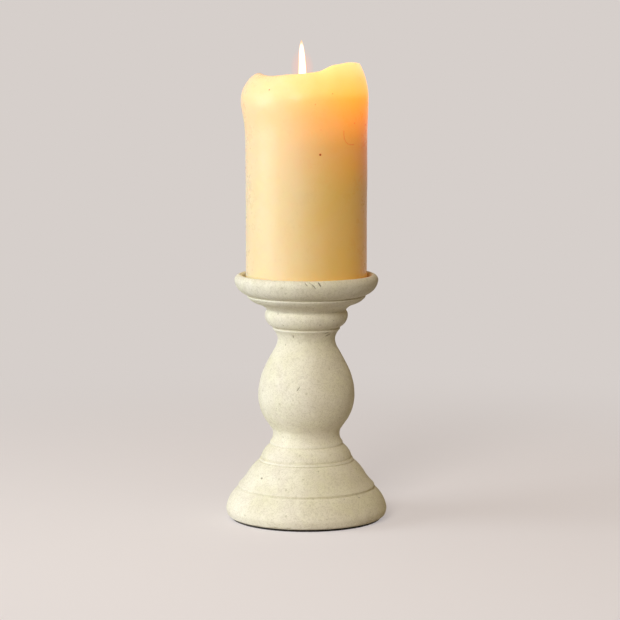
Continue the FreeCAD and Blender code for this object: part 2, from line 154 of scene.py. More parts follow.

# Air holes, gouges and chips in the cast stone: where each starts and ends, as
# an angle about the axis in degrees from +X towards the back and a height above
# the table in millimetres, then its radius and depth in millimetres, and how
# much painted shade darkens it, up to 1 in a deep hole, or how fresh and pale,
# down to -1.
FOOT_MARKS = [
    (220.8, 26.7, 220.8, 26.7, 0.75, 0.7, 1.0),
    (317.5, 16.7, 317.5, 16.7, 0.55, 0.5, 0.8),
    (302.3, 17.1, 302.3, 17.1, 0.45, 0.4, 0.6),
    (221.0, 6.9, 221.0, 6.9, 0.5, 0.4, 0.6),
    (253.5, 36.7, 253.5, 36.7, 0.4, 0.3, 0.4),
    (283.5, 31.9, 283.5, 31.9, 0.5, 0.4, 0.5),
    (260.7, 7.2, 265.6, 7.3, 0.4, 0.12, -0.4),
    (308.0, 2.0, 310.0, 2.0, 0.6, 0.5, -0.3),
    (313.0, 2.2, 316.0, 2.1, 0.9, 0.7, -0.5),
    (318.4, 2.4, 319.6, 2.9, 0.9, 0.9, -1.0),
    (320.5, 2.2, 323.5, 2.3, 1.2, 1.0, -0.6),
    (325.5, 2.2, 327.0, 2.0, 0.8, 0.7, -0.3),
    (329.0, 2.3, 332.5, 2.1, 1.1, 0.9, -0.6),
    (334.5, 2.0, 336.0, 2.1, 0.7, 0.6, 0.2),
    (338.0, 2.2, 342.5, 2.1, 1.1, 1.0, -0.5),
    (345.5, 2.1, 348.0, 2.1, 0.8, 0.7, -0.4),
    (351.0, 2.1, 355.0, 2.1, 0.7, 0.7, 0.1),
    (236.0, 2.0, 238.0, 2.0, 0.5, 0.4, -0.4),
    (243.5, 2.0, 245.0, 2.0, 0.5, 0.4, -0.3),
    (247.4, 2.1, 249.8, 2.0, 0.7, 0.6, 0.1),
    (252.5, 2.0, 253.5, 2.0, 0.4, 0.4, -0.4),
    (256.4, 2.1, 258.6, 2.0, 0.6, 0.5, 0.1),
    (265.0, 2.0, 266.2, 2.1, 0.5, 0.5, -0.3),
    (271.0, 2.0, 272.0, 2.0, 0.4, 0.4, -0.3),
    (278.0, 2.0, 279.0, 2.0, 0.5, 0.4, -0.4),
    (285.5, 2.2, 287.4, 2.0, 0.7, 0.6, 0.2),
    (292.0, 2.0, 293.0, 2.0, 0.4, 0.4, -0.3),
    (296.5, 2.0, 298.5, 2.0, 0.6, 0.5, -0.4),
    (303.0, 2.1, 304.0, 2.0, 0.5, 0.4, -0.3),
    (124.0, 2.2, 131.0, 2.1, 1.0, 0.8, -0.3),
    (58.0, 2.2, 61.0, 2.2, 0.8, 0.6, -0.2),
    (14.0, 2.1, 17.0, 2.1, 0.6, 0.5, -0.3),
    (196.0, 2.1, 199.0, 2.1, 0.6, 0.5, -0.3),
]
STEM_MARKS = [
    (259.3, 78.0, 261.9, 79.7, 0.35, 0.4, 0.6),
    (311.0, 116.7, 311.0, 116.7, 0.5, 0.4, 0.6),
    (289.4, 114.5, 289.4, 114.5, 0.5, 0.4, 0.5),
    (234.5, 113.8, 234.5, 113.8, 0.5, 0.4, 0.6),
    (306.0, 108.6, 312.0, 109.5, 0.5, 0.5, 0.4),
    (311.0, 107.2, 318.0, 108.0, 0.5, 0.5, 0.5),
    (244.7, 106.6, 244.7, 107.6, 0.4, 0.4, 0.6),
    (226.0, 120.3, 226.0, 120.3, 0.5, 0.4, 0.5),
    (71.0, 88.0, 74.0, 86.5, 0.4, 0.4, 0.5),
]
DISH_MARKS = [
    (269.4, 140.3, 270.8, 139.2, 0.4, 0.5, 0.6),
    (273.0, 140.6, 274.0, 140.0, 0.35, 0.4, 0.5),
    (275.0, 139.6, 275.9, 138.7, 0.4, 0.5, 0.6),
    (276.6, 138.4, 277.2, 137.5, 0.4, 0.5, 0.6),
    (280.0, 140.6, 281.3, 138.9, 0.45, 0.7, 1.0),
    (225.3, 141.4, 227.0, 141.4, 0.4, 0.3, 0.6),
    (102.0, 137.0, 103.5, 136.2, 0.4, 0.4, 0.5),
]

# How a mark is pressed in: the run of one degree round the stone in millimetres,
# near enough, the space between its spots as a share of its radius, how far its
# edge strays as a share of its radius, and how fine that straying is.
DEGREE_RUN = 0.7
SPOT_SPACING = 0.7
MARK_RAGGEDNESS = 0.35
MARK_GRAIN = 1400

# Specks, a hair and a small crack in the wax: where each starts and ends, as an
# angle, a height above the table and a radius from the axis, then its half
# width, all in degrees and millimetres, and how dark it is.
WAX_MARKS = [
    (233.9, 247.5, 35.0, 233.9, 247.5, 35.0, 0.5, 0.7),
    (278.1, 239.6, 36.2, 278.1, 239.6, 36.2, 0.4, 0.35),
    (294.4, 245.4, 35.6, 294.4, 245.4, 35.6, 0.4, 0.4),
    (333.4, 253.0, 31.5, 333.4, 253.0, 36.5, 0.45, 0.7),
    (331.6, 253.8, 31.5, 331.6, 253.8, 36.5, 0.4, 0.6),
    (320.8, 228.6, 35.1, 320.8, 228.6, 35.1, 0.45, 0.6),
    (342.9, 227.1, 35.0, 342.9, 227.1, 35.0, 0.6, 1.0),
    (283.6, 225.4, 35.1, 283.6, 225.4, 35.1, 0.35, 0.3),
    (204.3, 214.0, 34.9, 204.3, 214.0, 34.9, 0.45, 0.6),
    (283.0, 211.6, 34.8, 283.0, 211.6, 34.8, 0.7, 1.0),
    (207.9, 145.4, 34.8, 207.9, 145.4, 34.8, 0.4, 0.5),
    (201.1, 170.0, 34.8, 201.1, 170.0, 34.8, 0.4, 0.5),
    (307.0, 224.5, 35.0, 307.0, 222.3, 35.0, 0.3, 0.45),
    (307.0, 222.3, 35.0, 307.8, 220.1, 34.9, 0.3, 0.45),
    (307.8, 220.1, 34.9, 309.5, 218.4, 34.9, 0.3, 0.4),
    (309.5, 218.4, 34.9, 312.0, 217.2, 34.9, 0.3, 0.4),
    (312.0, 217.2, 34.9, 315.9, 216.7, 34.9, 0.3, 0.35),
    (315.9, 216.7, 34.9, 320.1, 216.7, 34.9, 0.3, 0.45),
    (336.6, 261.7, 27.0, 335.6, 261.0, 33.5, 0.45, 1.0),
]

# The candle's burned rim: angle in degrees and height above the candle's base,
# and the rings of the wax from the sole up the outside, over the rim and down
# to the floor of the bowl: radius right and left, height right and left. The
# rim's own rings have their depth below the rim in place of a height.
RIM_HEIGHTS = [
    (0, 127.2),
    (60, 121.4),
    (110, 118.4),
    (150, 119.6),
    (180, 121.7),
    (222, 120.5),
    (262, 121.9),
    (282, 123.0),
    (303, 127.0),
    (325, 128.2),
    (360, 127.2),
]
SIDE_RINGS = [
    (34.2, 34.2, 0.0, 0.0),
    (34.8, 34.8, 0.5, 0.5),
    (34.8, 34.8, 2.2, 2.2),
    (34.8, 34.8, 30.0, 30.0),
    (34.8, 34.8, 58.0, 58.0),
    (34.8, 34.8, 80.0, 80.0),
    (35.0, 35.2, 93.0, 93.0),
    (35.4, 37.4, 102.0, 102.0),
]
RIM_RINGS = [
    (35.4, 37.6, 15.5, 12.5),
    (33.4, 34.6, 7.5, 6.0),
    (31.2, 30.4, 2.3, 1.3),
    (29.9, 26.4, 0.0, 0.0),
    (28.6, 23.8, 1.8, 1.8),
]
BOWL_RINGS = [
    (27.6, 25.0, 113.0, 113.0),
    (28.0, 26.5, 107.5, 107.5),
    (27.0, 26.0, 101.5, 101.5),
    (24.0, 24.0, 100.0, 100.0),
    (18.0, 18.0, 100.0, 100.0),
]


def paint(red, green, blue):
    """A colour written as it shows, 0 to 255, as Blender's linear values."""
    def linear(value):
        value /= 255
        return value / 12.92 if value <= 0.04045 else ((value + 0.055) / 1.055) ** 2.4
    return (linear(red), linear(green), linear(blue))


def rgba(colour):
    """A colour property with full alpha, for a shader socket."""
    return (*colour, 1.0)


def colour_property(name, description, default):
    """A colour with a swatch."""
    return FloatVectorProperty(
        name=name, description=description, default=default,
        subtype="COLOR", min=0.0, max=1.0)


def length_property(name, description, default):
    """A length in metres."""
    return FloatProperty(
        name=name, description=description, default=default,
        unit="LENGTH", min=0.0, precision=5)


class HolderSettings(bpy.types.PropertyGroup):
    """Sizes and colours of the turned stone, its felt and its fastenings."""

    turned_steps: IntProperty(
        name="Turned steps", description="Divisions round a turned piece", default=300)
    outline_spacing: length_property(
        "Outline spacing", "Distance between points along a turned outline", 0.8 * MM)
    unevenness: length_property(
        "Unevenness", "How far the hand-finished surface wanders inwards", 0.28 * MM)
    tooth: length_property(
        "Tooth", "Depth of the small hollows of the cast surface", 0.09 * MM)
    pit_count: IntProperty(
        name="Pits", description="Small air holes scattered over each piece", default=6)
    thread_pitch: length_property("Thread pitch", "Pitch of the M6 tie rod", 1.0 * MM)
    thread_depth: length_property("Thread depth", "Depth of the rod's thread", 0.55 * MM)
    felt_pile: length_property("Felt pile", "Raggedness of the felt's edge", 0.3 * MM)
    stone_light: colour_property("Stone", "The cast stone", paint(252, 247, 229))
    stone_shade: colour_property("Stone, grey", "Its greyer clouds", paint(230, 221, 206))
    stone_olive: colour_property("Stone, olive", "Its greener clouds", paint(237, 233, 199))
    # The stain colour also paints shade, with dust, into the grooves.
    stone_stain_and_shade: colour_property("Stone stain", "Dust in its grooves", paint(164, 156, 118))
    # The pale worn colour also paints highlight on the beads, the lip and the dish's fillet.
    stone_wear_and_highlight: colour_property("Worn edges", "Its paler edges", paint(255, 252, 238))
    # The dark of the air holes is painted shade.
    pit_shade_colour: colour_property("Pits", "The inside of its air holes", paint(92, 82, 60))
    felt_colour: colour_property("Felt", "The felt pad", paint(38, 34, 31))
    zinc_colour: colour_property("Zinc", "Plated rod, nuts and washers", paint(190, 192, 190))
    tin_colour: colour_property("Tin", "The wick tab", paint(200, 200, 194))


class CandleSettings(bpy.types.PropertyGroup):
    """Sizes and colours of the candle."""

    ring_corners: IntProperty(
        name="Ring corners", description="Corners of each ring of the wax cage", default=48)
    smoothing: IntProperty(
        name="Smoothing", description="Subdivision of the wax cage", default=3)
    handling_dents: length_property(
        "Dents", "Depth of the soft unevenness of the wax", 0.22 * MM)
    wick_radius: length_property("Wick radius", "Half the braided wick's width", 1.2 * MM)
    # The halo is painted glare round the flame.
    halo_spread: length_property(
        "Halo", "How far the glow stands off the flame", 4.4 * MM)
    wax_colour: colour_property("Wax", "The wax", (0.92, 0.745, 0.47))
    # The warmer colour also paints shade on the candle's right side.
    wax_warm_and_shade: colour_property("Wax, warm", "The wax where it is denser", (0.93, 0.67, 0.16))
    pool_colour: colour_property("Molten wax", "The melt pool", paint(252, 214, 132))
    wick_colour: colour_property("Wick", "The cotton below the char", paint(196, 176, 140))
    char_colour: colour_property("Char", "The burnt end of the wick", paint(24, 19, 16))
    ember_colour: colour_property("Ember", "The glowing end of the wick", paint(255, 120, 30))
    flame_core: colour_property("Flame core", "The bright body", paint(255, 250, 240))
    flame_edge: colour_property("Flame edge", "Its rim and tip", paint(255, 182, 126))
    # The halo is painted glare round the flame.
    halo_colour: colour_property("Halo", "The glow round the flame", paint(255, 190, 173))
    speck_colour: colour_property("Specks", "Soot and dust in the wax", paint(150, 84, 30))


class StageSettings(bpy.types.PropertyGroup):
    """Camera, lights and floor."""

    camera_distance: length_property(
        "Camera distance", "From the axis to the lens", 1.4)
    camera_height: length_property("Camera height", "Above the floor", 0.2915)
    camera_pitch: FloatProperty(
        name="Camera pitch", description="How far the camera looks down",
        default=math.radians(6.96), subtype="ANGLE")
    camera_lens: FloatProperty(
        name="Lens", description="Focal length on a 36 mm sensor", default=142.7)
    camera_side: length_property("Camera side step", "To the right of the axis", 0.0021)
    key_strength: FloatProperty(
        name="Side light", description="Power of the window on the left, in watts",
        default=13.6)
    front_strength: FloatProperty(
        name="Front light", description="Power of the window in front, in watts",
        default=10.4)
    room_colour: colour_property("Room light", "The light from all round", (0.26, 0.195, 0.105))
    floor_fill: colour_property(
        "Floor fill", "The part of the floor's paleness that is its own", (0.367, 0.351, 0.363))
    backdrop_colour: colour_property("Background", "Floor and background", paint(214, 207, 203))


def deselect_all():
    """Leave edit mode with nothing selected."""
    if bpy.context.mode != "OBJECT":
        bpy.ops.object.mode_set(mode="OBJECT")
    bpy.ops.object.select_all(action="DESELECT")


def make_active(piece):
    """Select one object alone."""
    deselect_all()
    piece.select_set(True)
    bpy.context.view_layer.objects.active = piece


def edit_active(kind, action):
    """Enter edit mode for vertices, edges or faces, all or none selected."""
    bpy.ops.object.mode_set(mode="EDIT")
    bpy.ops.mesh.select_mode(type=kind)
    bpy.ops.mesh.select_all(action=action)


def name_piece(name):
    """Name the active object and its mesh."""
    piece = bpy.context.active_object
    piece.name = name
    piece.data.name = name
    return piece


def seal_mesh(merge=0.0):
    """Merge doubled vertices, turn every face outwards and leave edit mode."""
    bpy.ops.mesh.select_all(action="SELECT")
    if merge:
        bpy.ops.mesh.remove_doubles(threshold=merge)
    bpy.ops.mesh.normals_make_consistent(inside=False)
    bpy.ops.object.mode_set(mode="OBJECT")


def divide_uprights(piece, longer_than, cuts):
    """Divide a round piece's upright edges into courses, and leave edit mode."""
    edit_active("EDGE", "DESELECT")
    mesh = bmesh.from_edit_mesh(piece.data)
    for edge in mesh.edges:
        start, end = edge.verts
        edge.select = abs(start.co.z - end.co.z) > longer_than
    bpy.ops.mesh.subdivide(number_cuts=cuts)
    bpy.ops.object.mode_set(mode="OBJECT")


def apply_all(piece):
    """Apply every modifier, in order."""
    make_active(piece)
    for modifier in list(piece.modifiers):
        bpy.ops.object.modifier_apply(modifier=modifier.name)


def finish_mesh(piece, angle=math.radians(40)):
    """Smooth shading with crisp edges past an angle."""
    make_active(piece)
    bpy.ops.object.shade_smooth_by_angle(angle=angle)


def use_material(piece, name):
    """Give a piece one material in place of any it has."""
    piece.data.materials.clear()
    piece.data.materials.append(bpy.data.materials[name])


def sampled_outline(outline, base, spacing):
    """Points of an outline, its arcs divided evenly, as (x, z) in metres."""
    points = []
    stations = [(Vector((r, h)), bulge) for r, h, bulge, tone in outline]
    for i, (start, bulge) in enumerate(stations):
        end = stations[(i + 1) % len(stations)][0]
        chord = end - start
        count = max(1, math.ceil(chord.length * MM / spacing))
        outward = Vector((chord.y, -chord.x)).normalized()
        for k in range(count):
            share = k / count
            offset = arc_offset(chord.length, bulge, share)
            point = start + chord * share + outward * offset
            points.append((point.x * MM, base + point.y * MM))
    return points


def arc_offset(chord, bulge, share):
    """How far a circular arc stands off its chord, part of the way along."""
    if bulge == 0:
        return 0.0
    radius = chord ** 2 / (8 * abs(bulge)) + abs(bulge) / 2
    along = (share - 0.5) * chord
    rise = math.sqrt(radius ** 2 - along ** 2) - (radius - abs(bulge))
    return math.copysign(rise, bulge)


def draw_chain(name, points):
    """A new piece that is a chain of edges through points in the XZ plane, left in edit mode."""
    deselect_all()
    bpy.ops.mesh.primitive_plane_add(size=MM, location=(0, 0, 0))
    piece = name_piece(name)
    edit_active("VERT", "SELECT")
    bpy.ops.mesh.merge(type="CENTER")
    here = Vector((points[0][0], 0, points[0][1]))
    bpy.ops.transform.translate(value=here)
    for x, z in points[1:]:
        step = Vector((x, 0, z)) - here
        bpy.ops.mesh.extrude_vertices_move(TRANSFORM_OT_translate={"value": step})
        here += step
    return piece


def spin_outline(name, points, steps, closed):
    """Draw an outline as a chain of edges and spin it round the Z axis."""
    piece = draw_chain(name, points)
    if closed:
        bpy.ops.mesh.select_all(action="DESELECT")
        mesh = bmesh.from_edit_mesh(piece.data)
        for vertex in mesh.verts:
            vertex.select = len(vertex.link_edges) == 1
        mesh.select_flush(True)
        bpy.ops.mesh.edge_face_add()
    bpy.ops.mesh.select_all(action="SELECT")
    bpy.ops.mesh.spin(steps=steps, angle=TURN, center=(0, 0, 0), axis=(0, 0, 1))
    seal_mesh(merge=0.02 * MM)
    return piece


def vertex_places(piece):
    """Every vertex's place, as rows of an array."""
    places = numpy.empty(len(piece.data.vertices) * 3)
    piece.data.vertices.foreach_get("co", places)
    return places.reshape(-1, 3)


def set_vertex_places(piece, places):
    """Move every vertex to its row of an array."""
    piece.data.vertices.foreach_set("co", places.ravel())
    piece.data.update()


def hold_faces(piece, levels):
    """A vertex group of everything but the rings at the levels of the joint faces."""
    close = 0.05 * MM
    places = vertex_places(piece)
    held = numpy.zeros(len(places), dtype=bool)
    for level in levels:
        held |= numpy.abs(places[:, 2] - level) < close
    group = piece.vertex_groups.new(name="worked")
    group.add(numpy.nonzero(~held)[0].tolist(), 1.0, "REPLACE")


def roughen(piece, name, size, depth):
    """Hollow a surface inwards with clouds of one size, but for its held faces."""
    clouds = bpy.data.textures.new(name, "CLOUDS")
    clouds.noise_scale = size
    clouds.noise_depth = 3
    modifier = piece.modifiers.new(name, "DISPLACE")
    modifier.vertex_group = "worked"
    modifier.texture = clouds
    modifier.texture_coords = "LOCAL"
    modifier.mid_level = 1.0
    modifier.strength = depth
    apply_all(piece)


def surface_spot(piece, angle, height):
    """The point and normal of a piece's outside at an angle and a height."""
    outward = Vector((math.cos(math.radians(angle)), math.sin(math.radians(angle)), 0))
    well_outside = 100 * MM
    start = outward * well_outside + Vector((0, 0, height))
    hit, point, normal, face = piece.ray_cast(start, -outward)
    return (point, normal) if hit else None


def refine_near(piece, spots):
    """Divide the faces about each spot so that a small mark has room."""
    margin = 0.4 * MM
    centres = numpy.empty(len(piece.data.polygons) * 3)
    piece.data.polygons.foreach_get("center", centres)
    centres = centres.reshape(-1, 3)
    chosen = numpy.zeros(len(centres), dtype=bool)
    for point, normal, radius, depth, darkness in spots:
        chosen |= numpy.linalg.norm(centres - point, axis=1) < radius * 1.4 + margin
    make_active(piece)
    edit_active("FACE", "DESELECT")
    bpy.ops.object.mode_set(mode="OBJECT")
    piece.data.polygons.foreach_set("select", chosen)
    bpy.ops.object.mode_set(mode="EDIT")
    bpy.ops.mesh.subdivide(number_cuts=2)
    bpy.ops.object.mode_set(mode="OBJECT")


def mark_spots(piece, marks):
    """The points along each mark, where it meets the piece's surface."""
    spots = []
    for angle, height, end_angle, end_height, radius, depth, darkness in marks:
        run = math.hypot(end_height - height, DEGREE_RUN * (end_angle - angle))
        count = max(1, round(run / (SPOT_SPACING * radius)))
        for k in range(count):
            share = k / max(1, count - 1)
            found = surface_spot(
                piece, angle + (end_angle - angle) * share,
                (height + (end_height - height) * share) * MM)
            if found:
                spots.append((*found, radius * MM, depth * MM, darkness))
    return spots


def press_marks(piece, marks):
    """Press every mark in, and return how much painted shade darkens each vertex, or how pale a fresh
    chip leaves it.
    """
    spots = mark_spots(piece, marks)
    refine_near(piece, spots)
    places = vertex_places(piece)
    sunk = numpy.zeros_like(places)
    tone = numpy.zeros(len(places))
    for point, normal, radius, depth, darkness in spots:
        away = numpy.linalg.norm(places - point, axis=1)
        for i in numpy.nonzero(away < radius * (1 + MARK_RAGGEDNESS))[0]:
            stray = MARK_RAGGEDNESS * noise.noise(Vector(places[i]) * MARK_GRAIN)
            ragged = radius * (1 + stray)
            share = max(0.0, 1 - (away[i] / ragged) ** 3)
            move = numpy.array(normal) * depth * share
            if numpy.linalg.norm(move) > numpy.linalg.norm(sunk[i]):
                sunk[i] = move
            if share * abs(darkness) > abs(tone[i]):
                tone[i] = share * darkness
    set_vertex_places(piece, places - sunk)
    return tone


def scattered_marks(low, high, count, seed):
    """Small air holes at random all round a piece."""
    dice = random.Random(seed)
    marks = []
    for i in range(count):
        angle, height = dice.uniform(0, 360), dice.uniform(low, high) / MM
        radius, depth = dice.uniform(0.25, 0.5), dice.uniform(0.2, 0.4)
        # The last value is how much painted shade darkens the hole.
        marks.append((angle, height, angle, height, radius, depth, dice.uniform(0.2, 0.6)))
    return marks


def outline_tone(places, outline, base):
    """How much painted shade with dust, or wear and painted highlight, each vertex takes, by its
    nearness to the marked stations.
    """
    reach = 0.7 * MM
    radii = numpy.hypot(places[:, 0], places[:, 1])
    heights = places[:, 2] - base
    tone = numpy.zeros(len(places))
    for radius, height, bulge, station_tone in outline:
        if station_tone:
            away = numpy.hypot(radii - radius * MM, heights - height * MM)
            here = station_tone * numpy.exp(-(away / reach) ** 2)
            tone = numpy.where(numpy.abs(here) > numpy.abs(tone), here, tone)
    return tone


def store_value(piece, name, values):
    """Keep one number per vertex for the material."""
    attribute = piece.data.attributes.new(name, "FLOAT", "POINT")
    attribute.data.foreach_set("value", values)


def turned_stone(settings, name, outline, base, joints, marks, seed, node):
    """One turned piece: spun, hand-finished, pitted and marked for its stains, with painted shade in its
    pits and grooves and painted highlight on its beads.
    """
    points = sampled_outline(outline, base, settings.outline_spacing)
    piece = spin_outline(name, points, settings.turned_steps, closed=True)
    hold_faces(piece, [base + height * MM for height in joints])
    roughen(piece, f"{name}_wander", 14 * MM, settings.unevenness)
    roughen(piece, f"{name}_tooth", 2.2 * MM, settings.tooth)
    low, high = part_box(node)[0][2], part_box(node)[1][2]
    tone = press_marks(piece, marks + scattered_marks(low, high, settings.pit_count, seed))
    grooves = outline_tone(vertex_places(piece), outline, base)
    # Pits take painted shade.
    store_value(piece, "pit", numpy.maximum(tone, 0))
    # Grooves take painted shade with dust; the pale value is wear and painted highlight.
    store_value(piece, "groove_dust_and_shade", numpy.maximum(grooves, 0))
    store_value(piece, "wear_and_painted_highlight", numpy.maximum(numpy.maximum(-tone, -grooves), 0))
    finish_mesh(piece)
    use_material(piece, "cream_stone")
    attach(piece, "holder")
    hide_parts(node)


def new_node(tree, kind, inputs=None, **settings):
    """Add a shader node with its settings, and its inputs set or linked by name or number."""
    node = tree.nodes.new(kind)
    for name, value in settings.items():
        setattr(node, name, value)
    for name, value in (inputs or {}).items():
        if isinstance(value, bpy.types.NodeSocket):
            tree.links.new(value, node.inputs[name])
        else:
            node.inputs[name].default_value = value
    return node


def new_material(name, **values):
    """A material with one Principled shader, its plain sockets set, as its tree and shader."""
    material = bpy.data.materials.new(name)
    material.use_nodes = True
    tree = material.node_tree
    tree.nodes.clear()
    shader = new_node(tree, "ShaderNodeBsdfPrincipled")
    for socket, value in values.items():
        shader.inputs[socket.replace("_", " ")].default_value = value
    new_node(tree, "ShaderNodeOutputMaterial", {"Surface": shader.outputs["BSDF"]})
    return tree, shader


def join(tree, output, shader, socket):
    """Feed one of the shader's sockets."""
    tree.links.new(output, shader.inputs[socket])


def mix_colours(tree, factor, low, high):
    """Two colours mixed by a factor; each may be a socket."""
    node = new_node(tree, "ShaderNodeMix", {0: factor, 6: low, 7: high}, data_type="RGBA")
    return node.outputs[2]


def calculate(tree, operation, first, second=0.0, clamp=False):
    """One sum on one or two numbers; either may be a socket."""
    node = new_node(
        tree, "ShaderNodeMath", {0: first, 1: second}, operation=operation, use_clamp=clamp)
    return node.outputs[0]


def vector_sum(tree, operation, first, second=(0, 0, 0)):
    """One sum on one or two vectors, as the node's outputs; either may be a socket."""
    return new_node(
        tree, "ShaderNodeVectorMath", {0: first, 1: second}, operation=operation).outputs


def lay_over(tree, colour, mask, share, top):
    """A colour with another laid over it where a mask shows, at a share of its strength."""
    return mix_colours(tree, calculate(tree, "MULTIPLY", mask, share), colour, rgba(top))


def remap(tree, value, low, high, to_low=0.0, to_high=1.0):
    """A number eased from one range to another, and held at its ends."""
    node = new_node(
        tree, "ShaderNodeMapRange",
        {"Value": value, "From Min": low, "From Max": high, "To Min": to_low, "To Max": to_high},
        interpolation_type="SMOOTHSTEP")
    return node.outputs["Result"]


def vary(tree, mask, low, high):
    """A number that goes from low to high as a mask goes from 0 to 1."""
    return remap(tree, mask, 0.0, 1.0, low, high)


def colour_ramp(tree, factor, stops):
    """Colours along a number, between stops of position and colour."""
    node = new_node(tree, "ShaderNodeValToRGB", {"Fac": factor})
    elements = node.color_ramp.elements
    for end, (position, colour) in zip(elements, (stops[0], stops[-1])):
        end.position = position
        end.color = rgba(colour)
    for position, colour in stops[1:-1]:
        elements.new(position).color = rgba(colour)
    return node.outputs["Color"]


def object_place(tree):
    """Object coordinates, as a socket."""
    return new_node(tree, "ShaderNodeTexCoord").outputs["Object"]


def new_group(name, inputs, outputs):
    """A shader node group with named inputs and outputs."""
    tree = bpy.data.node_groups.new(name, "ShaderNodeTree")
    for socket, kind, default in inputs:
        made = tree.interface.new_socket(socket, in_out="INPUT", socket_type=kind)
        if default is not None:
            made.default_value = default
    for socket, kind in outputs:
        tree.interface.new_socket(socket, in_out="OUTPUT", socket_type=kind)
    entry = new_node(tree, "NodeGroupInput")
    leave = new_node(tree, "NodeGroupOutput")
    return tree, entry.outputs, leave.inputs


def make_grain_group():
    """Grain: fine and coarse noise as a tint and a height."""
    tree, entry, leave = new_group(
        "grain",
        [("Vector", "NodeSocketVector", None), ("Scale", "NodeSocketFloat", 800.0),
         ("Coarseness", "NodeSocketFloat", 0.5)],
        [("Tint", "NodeSocketFloat"), ("Height", "NodeSocketFloat")])
    fine = new_node(tree, "ShaderNodeTexNoise", {
        "Vector": entry["Vector"], "Scale": entry["Scale"], "Detail": 4.0, "Roughness": 0.7})
    wide = calculate(tree, "MULTIPLY", entry["Scale"], 0.22)
    coarse = new_node(tree, "ShaderNodeTexNoise", {
        "Vector": entry["Vector"], "Scale": wide, "Detail": 3.0, "Roughness": 0.6})
    both = new_node(tree, "ShaderNodeMix", {
        "Factor": entry["Coarseness"], "A": fine.outputs["Fac"], "B": coarse.outputs["Fac"]})
    tree.links.new(both.outputs["Result"], leave["Height"])
    tree.links.new(remap(tree, both.outputs["Result"], 0.3, 0.7), leave["Tint"])


def make_flecks_group():
    """Flecks: scattered spots, a share of the cells of a Voronoi pattern."""
    tree, entry, leave = new_group(
        "flecks",
        [("Vector", "NodeSocketVector", None), ("Scale", "NodeSocketFloat", 150.0),
         ("Share", "NodeSocketFloat", 0.2), ("Size", "NodeSocketFloat", 0.25)],
        [("Mask", "NodeSocketFloat")])
    cells = new_node(tree, "ShaderNodeTexVoronoi", {
        "Vector": entry["Vector"], "Scale": entry["Scale"]})
    pick = new_node(tree, "ShaderNodeSeparateColor", {"Color": cells.outputs["Color"]})
    chosen = calculate(tree, "LESS_THAN", pick.outputs["Red"], entry["Share"])
    reach = calculate(tree, "MULTIPLY", entry["Size"], pick.outputs["Green"])
    gap = calculate(tree, "SUBTRACT", reach, cells.outputs["Distance"])
    edge = remap(tree, gap, 0.0, 0.06)
    tree.links.new(calculate(tree, "MULTIPLY", chosen, edge), leave["Mask"])


def make_clouds_group():
    """Clouds: soft uneven patches that wander over a surface."""
    tree, entry, leave = new_group(
        "clouds",
        [("Vector", "NodeSocketVector", None), ("Scale", "NodeSocketFloat", 40.0),
         ("Hardness", "NodeSocketFloat", 0.2)],
        [("Mask", "NodeSocketFloat")])
    soft = new_node(tree, "ShaderNodeTexNoise", {
        "Vector": entry["Vector"], "Scale": entry["Scale"], "Detail": 5.0,
        "Roughness": 0.55, "Distortion": 0.6})
    low = calculate(tree, "ADD", entry["Hardness"], 0.1)
    high = calculate(tree, "SUBTRACT", 0.9, entry["Hardness"])
    tree.links.new(remap(tree, soft.outputs["Fac"], low, high), leave["Mask"])


def make_veins_group():
    """Veins: thin lines that curl about where soft noise crosses its middle."""
    tree, entry, leave = new_group(
        "veins",
        [("Vector", "NodeSocketVector", None), ("Scale", "NodeSocketFloat", 300.0),
         ("Width", "NodeSocketFloat", 0.03)],
        [("Mask", "NodeSocketFloat")])
    soft = new_node(tree, "ShaderNodeTexNoise", {
        "Vector": entry["Vector"], "Scale": entry["Scale"], "Detail": 1.5,
        "Roughness": 0.5, "Distortion": 1.2})
    off = calculate(tree, "ABSOLUTE", calculate(tree, "SUBTRACT", soft.outputs["Fac"], 0.5))
    tree.links.new(remap(tree, off, 0.0, entry["Width"], 1.0, 0.0), leave["Mask"])


def make_stroke_group():
    """Stroke: a soft mark along the line between two points."""
    tree, entry, leave = new_group(
        "stroke",
        [("Vector", "NodeSocketVector", None), ("Start", "NodeSocketVector", None),
         ("End", "NodeSocketVector", None), ("Half Width", "NodeSocketFloat", 0.4 * MM)],
        [("Mask", "NodeSocketFloat")])
    run = vector_sum(tree, "SUBTRACT", entry["End"], entry["Start"])["Vector"]
    here = vector_sum(tree, "SUBTRACT", entry["Vector"], entry["Start"])["Vector"]
    along = vector_sum(tree, "DOT_PRODUCT", here, run)["Value"]
    length = vector_sum(tree, "DOT_PRODUCT", run, run)["Value"]
    share = calculate(tree, "DIVIDE", along, length, clamp=True)
    nearest = new_node(tree, "ShaderNodeVectorMath", {0: run, "Scale": share}, operation="SCALE")
    away = vector_sum(tree, "DISTANCE", here, nearest.outputs["Vector"])["Value"]
    edge = calculate(tree, "DIVIDE", away, entry["Half Width"])
    tree.links.new(remap(tree, edge, 0.5, 1.3, 1.0, 0.0), leave["Mask"])


def use_group(tree, name, **inputs):
    """Place a shared group in a material with its own values."""
    group = bpy.data.node_groups[name]
    return new_node(tree, "ShaderNodeGroup", inputs, node_tree=group).outputs


def bump(tree, shader, height, distance, strength):
    """Turn a height into the shader's normal."""
    node = new_node(tree, "ShaderNodeBump", {
        "Height": height, "Distance": distance, "Strength": strength})
    join(tree, node.outputs["Normal"], shader, "Normal")


def attribute_value(tree, name):
    """A number that a piece keeps for each vertex."""
    return new_node(tree, "ShaderNodeAttribute", attribute_name=name).outputs["Fac"]


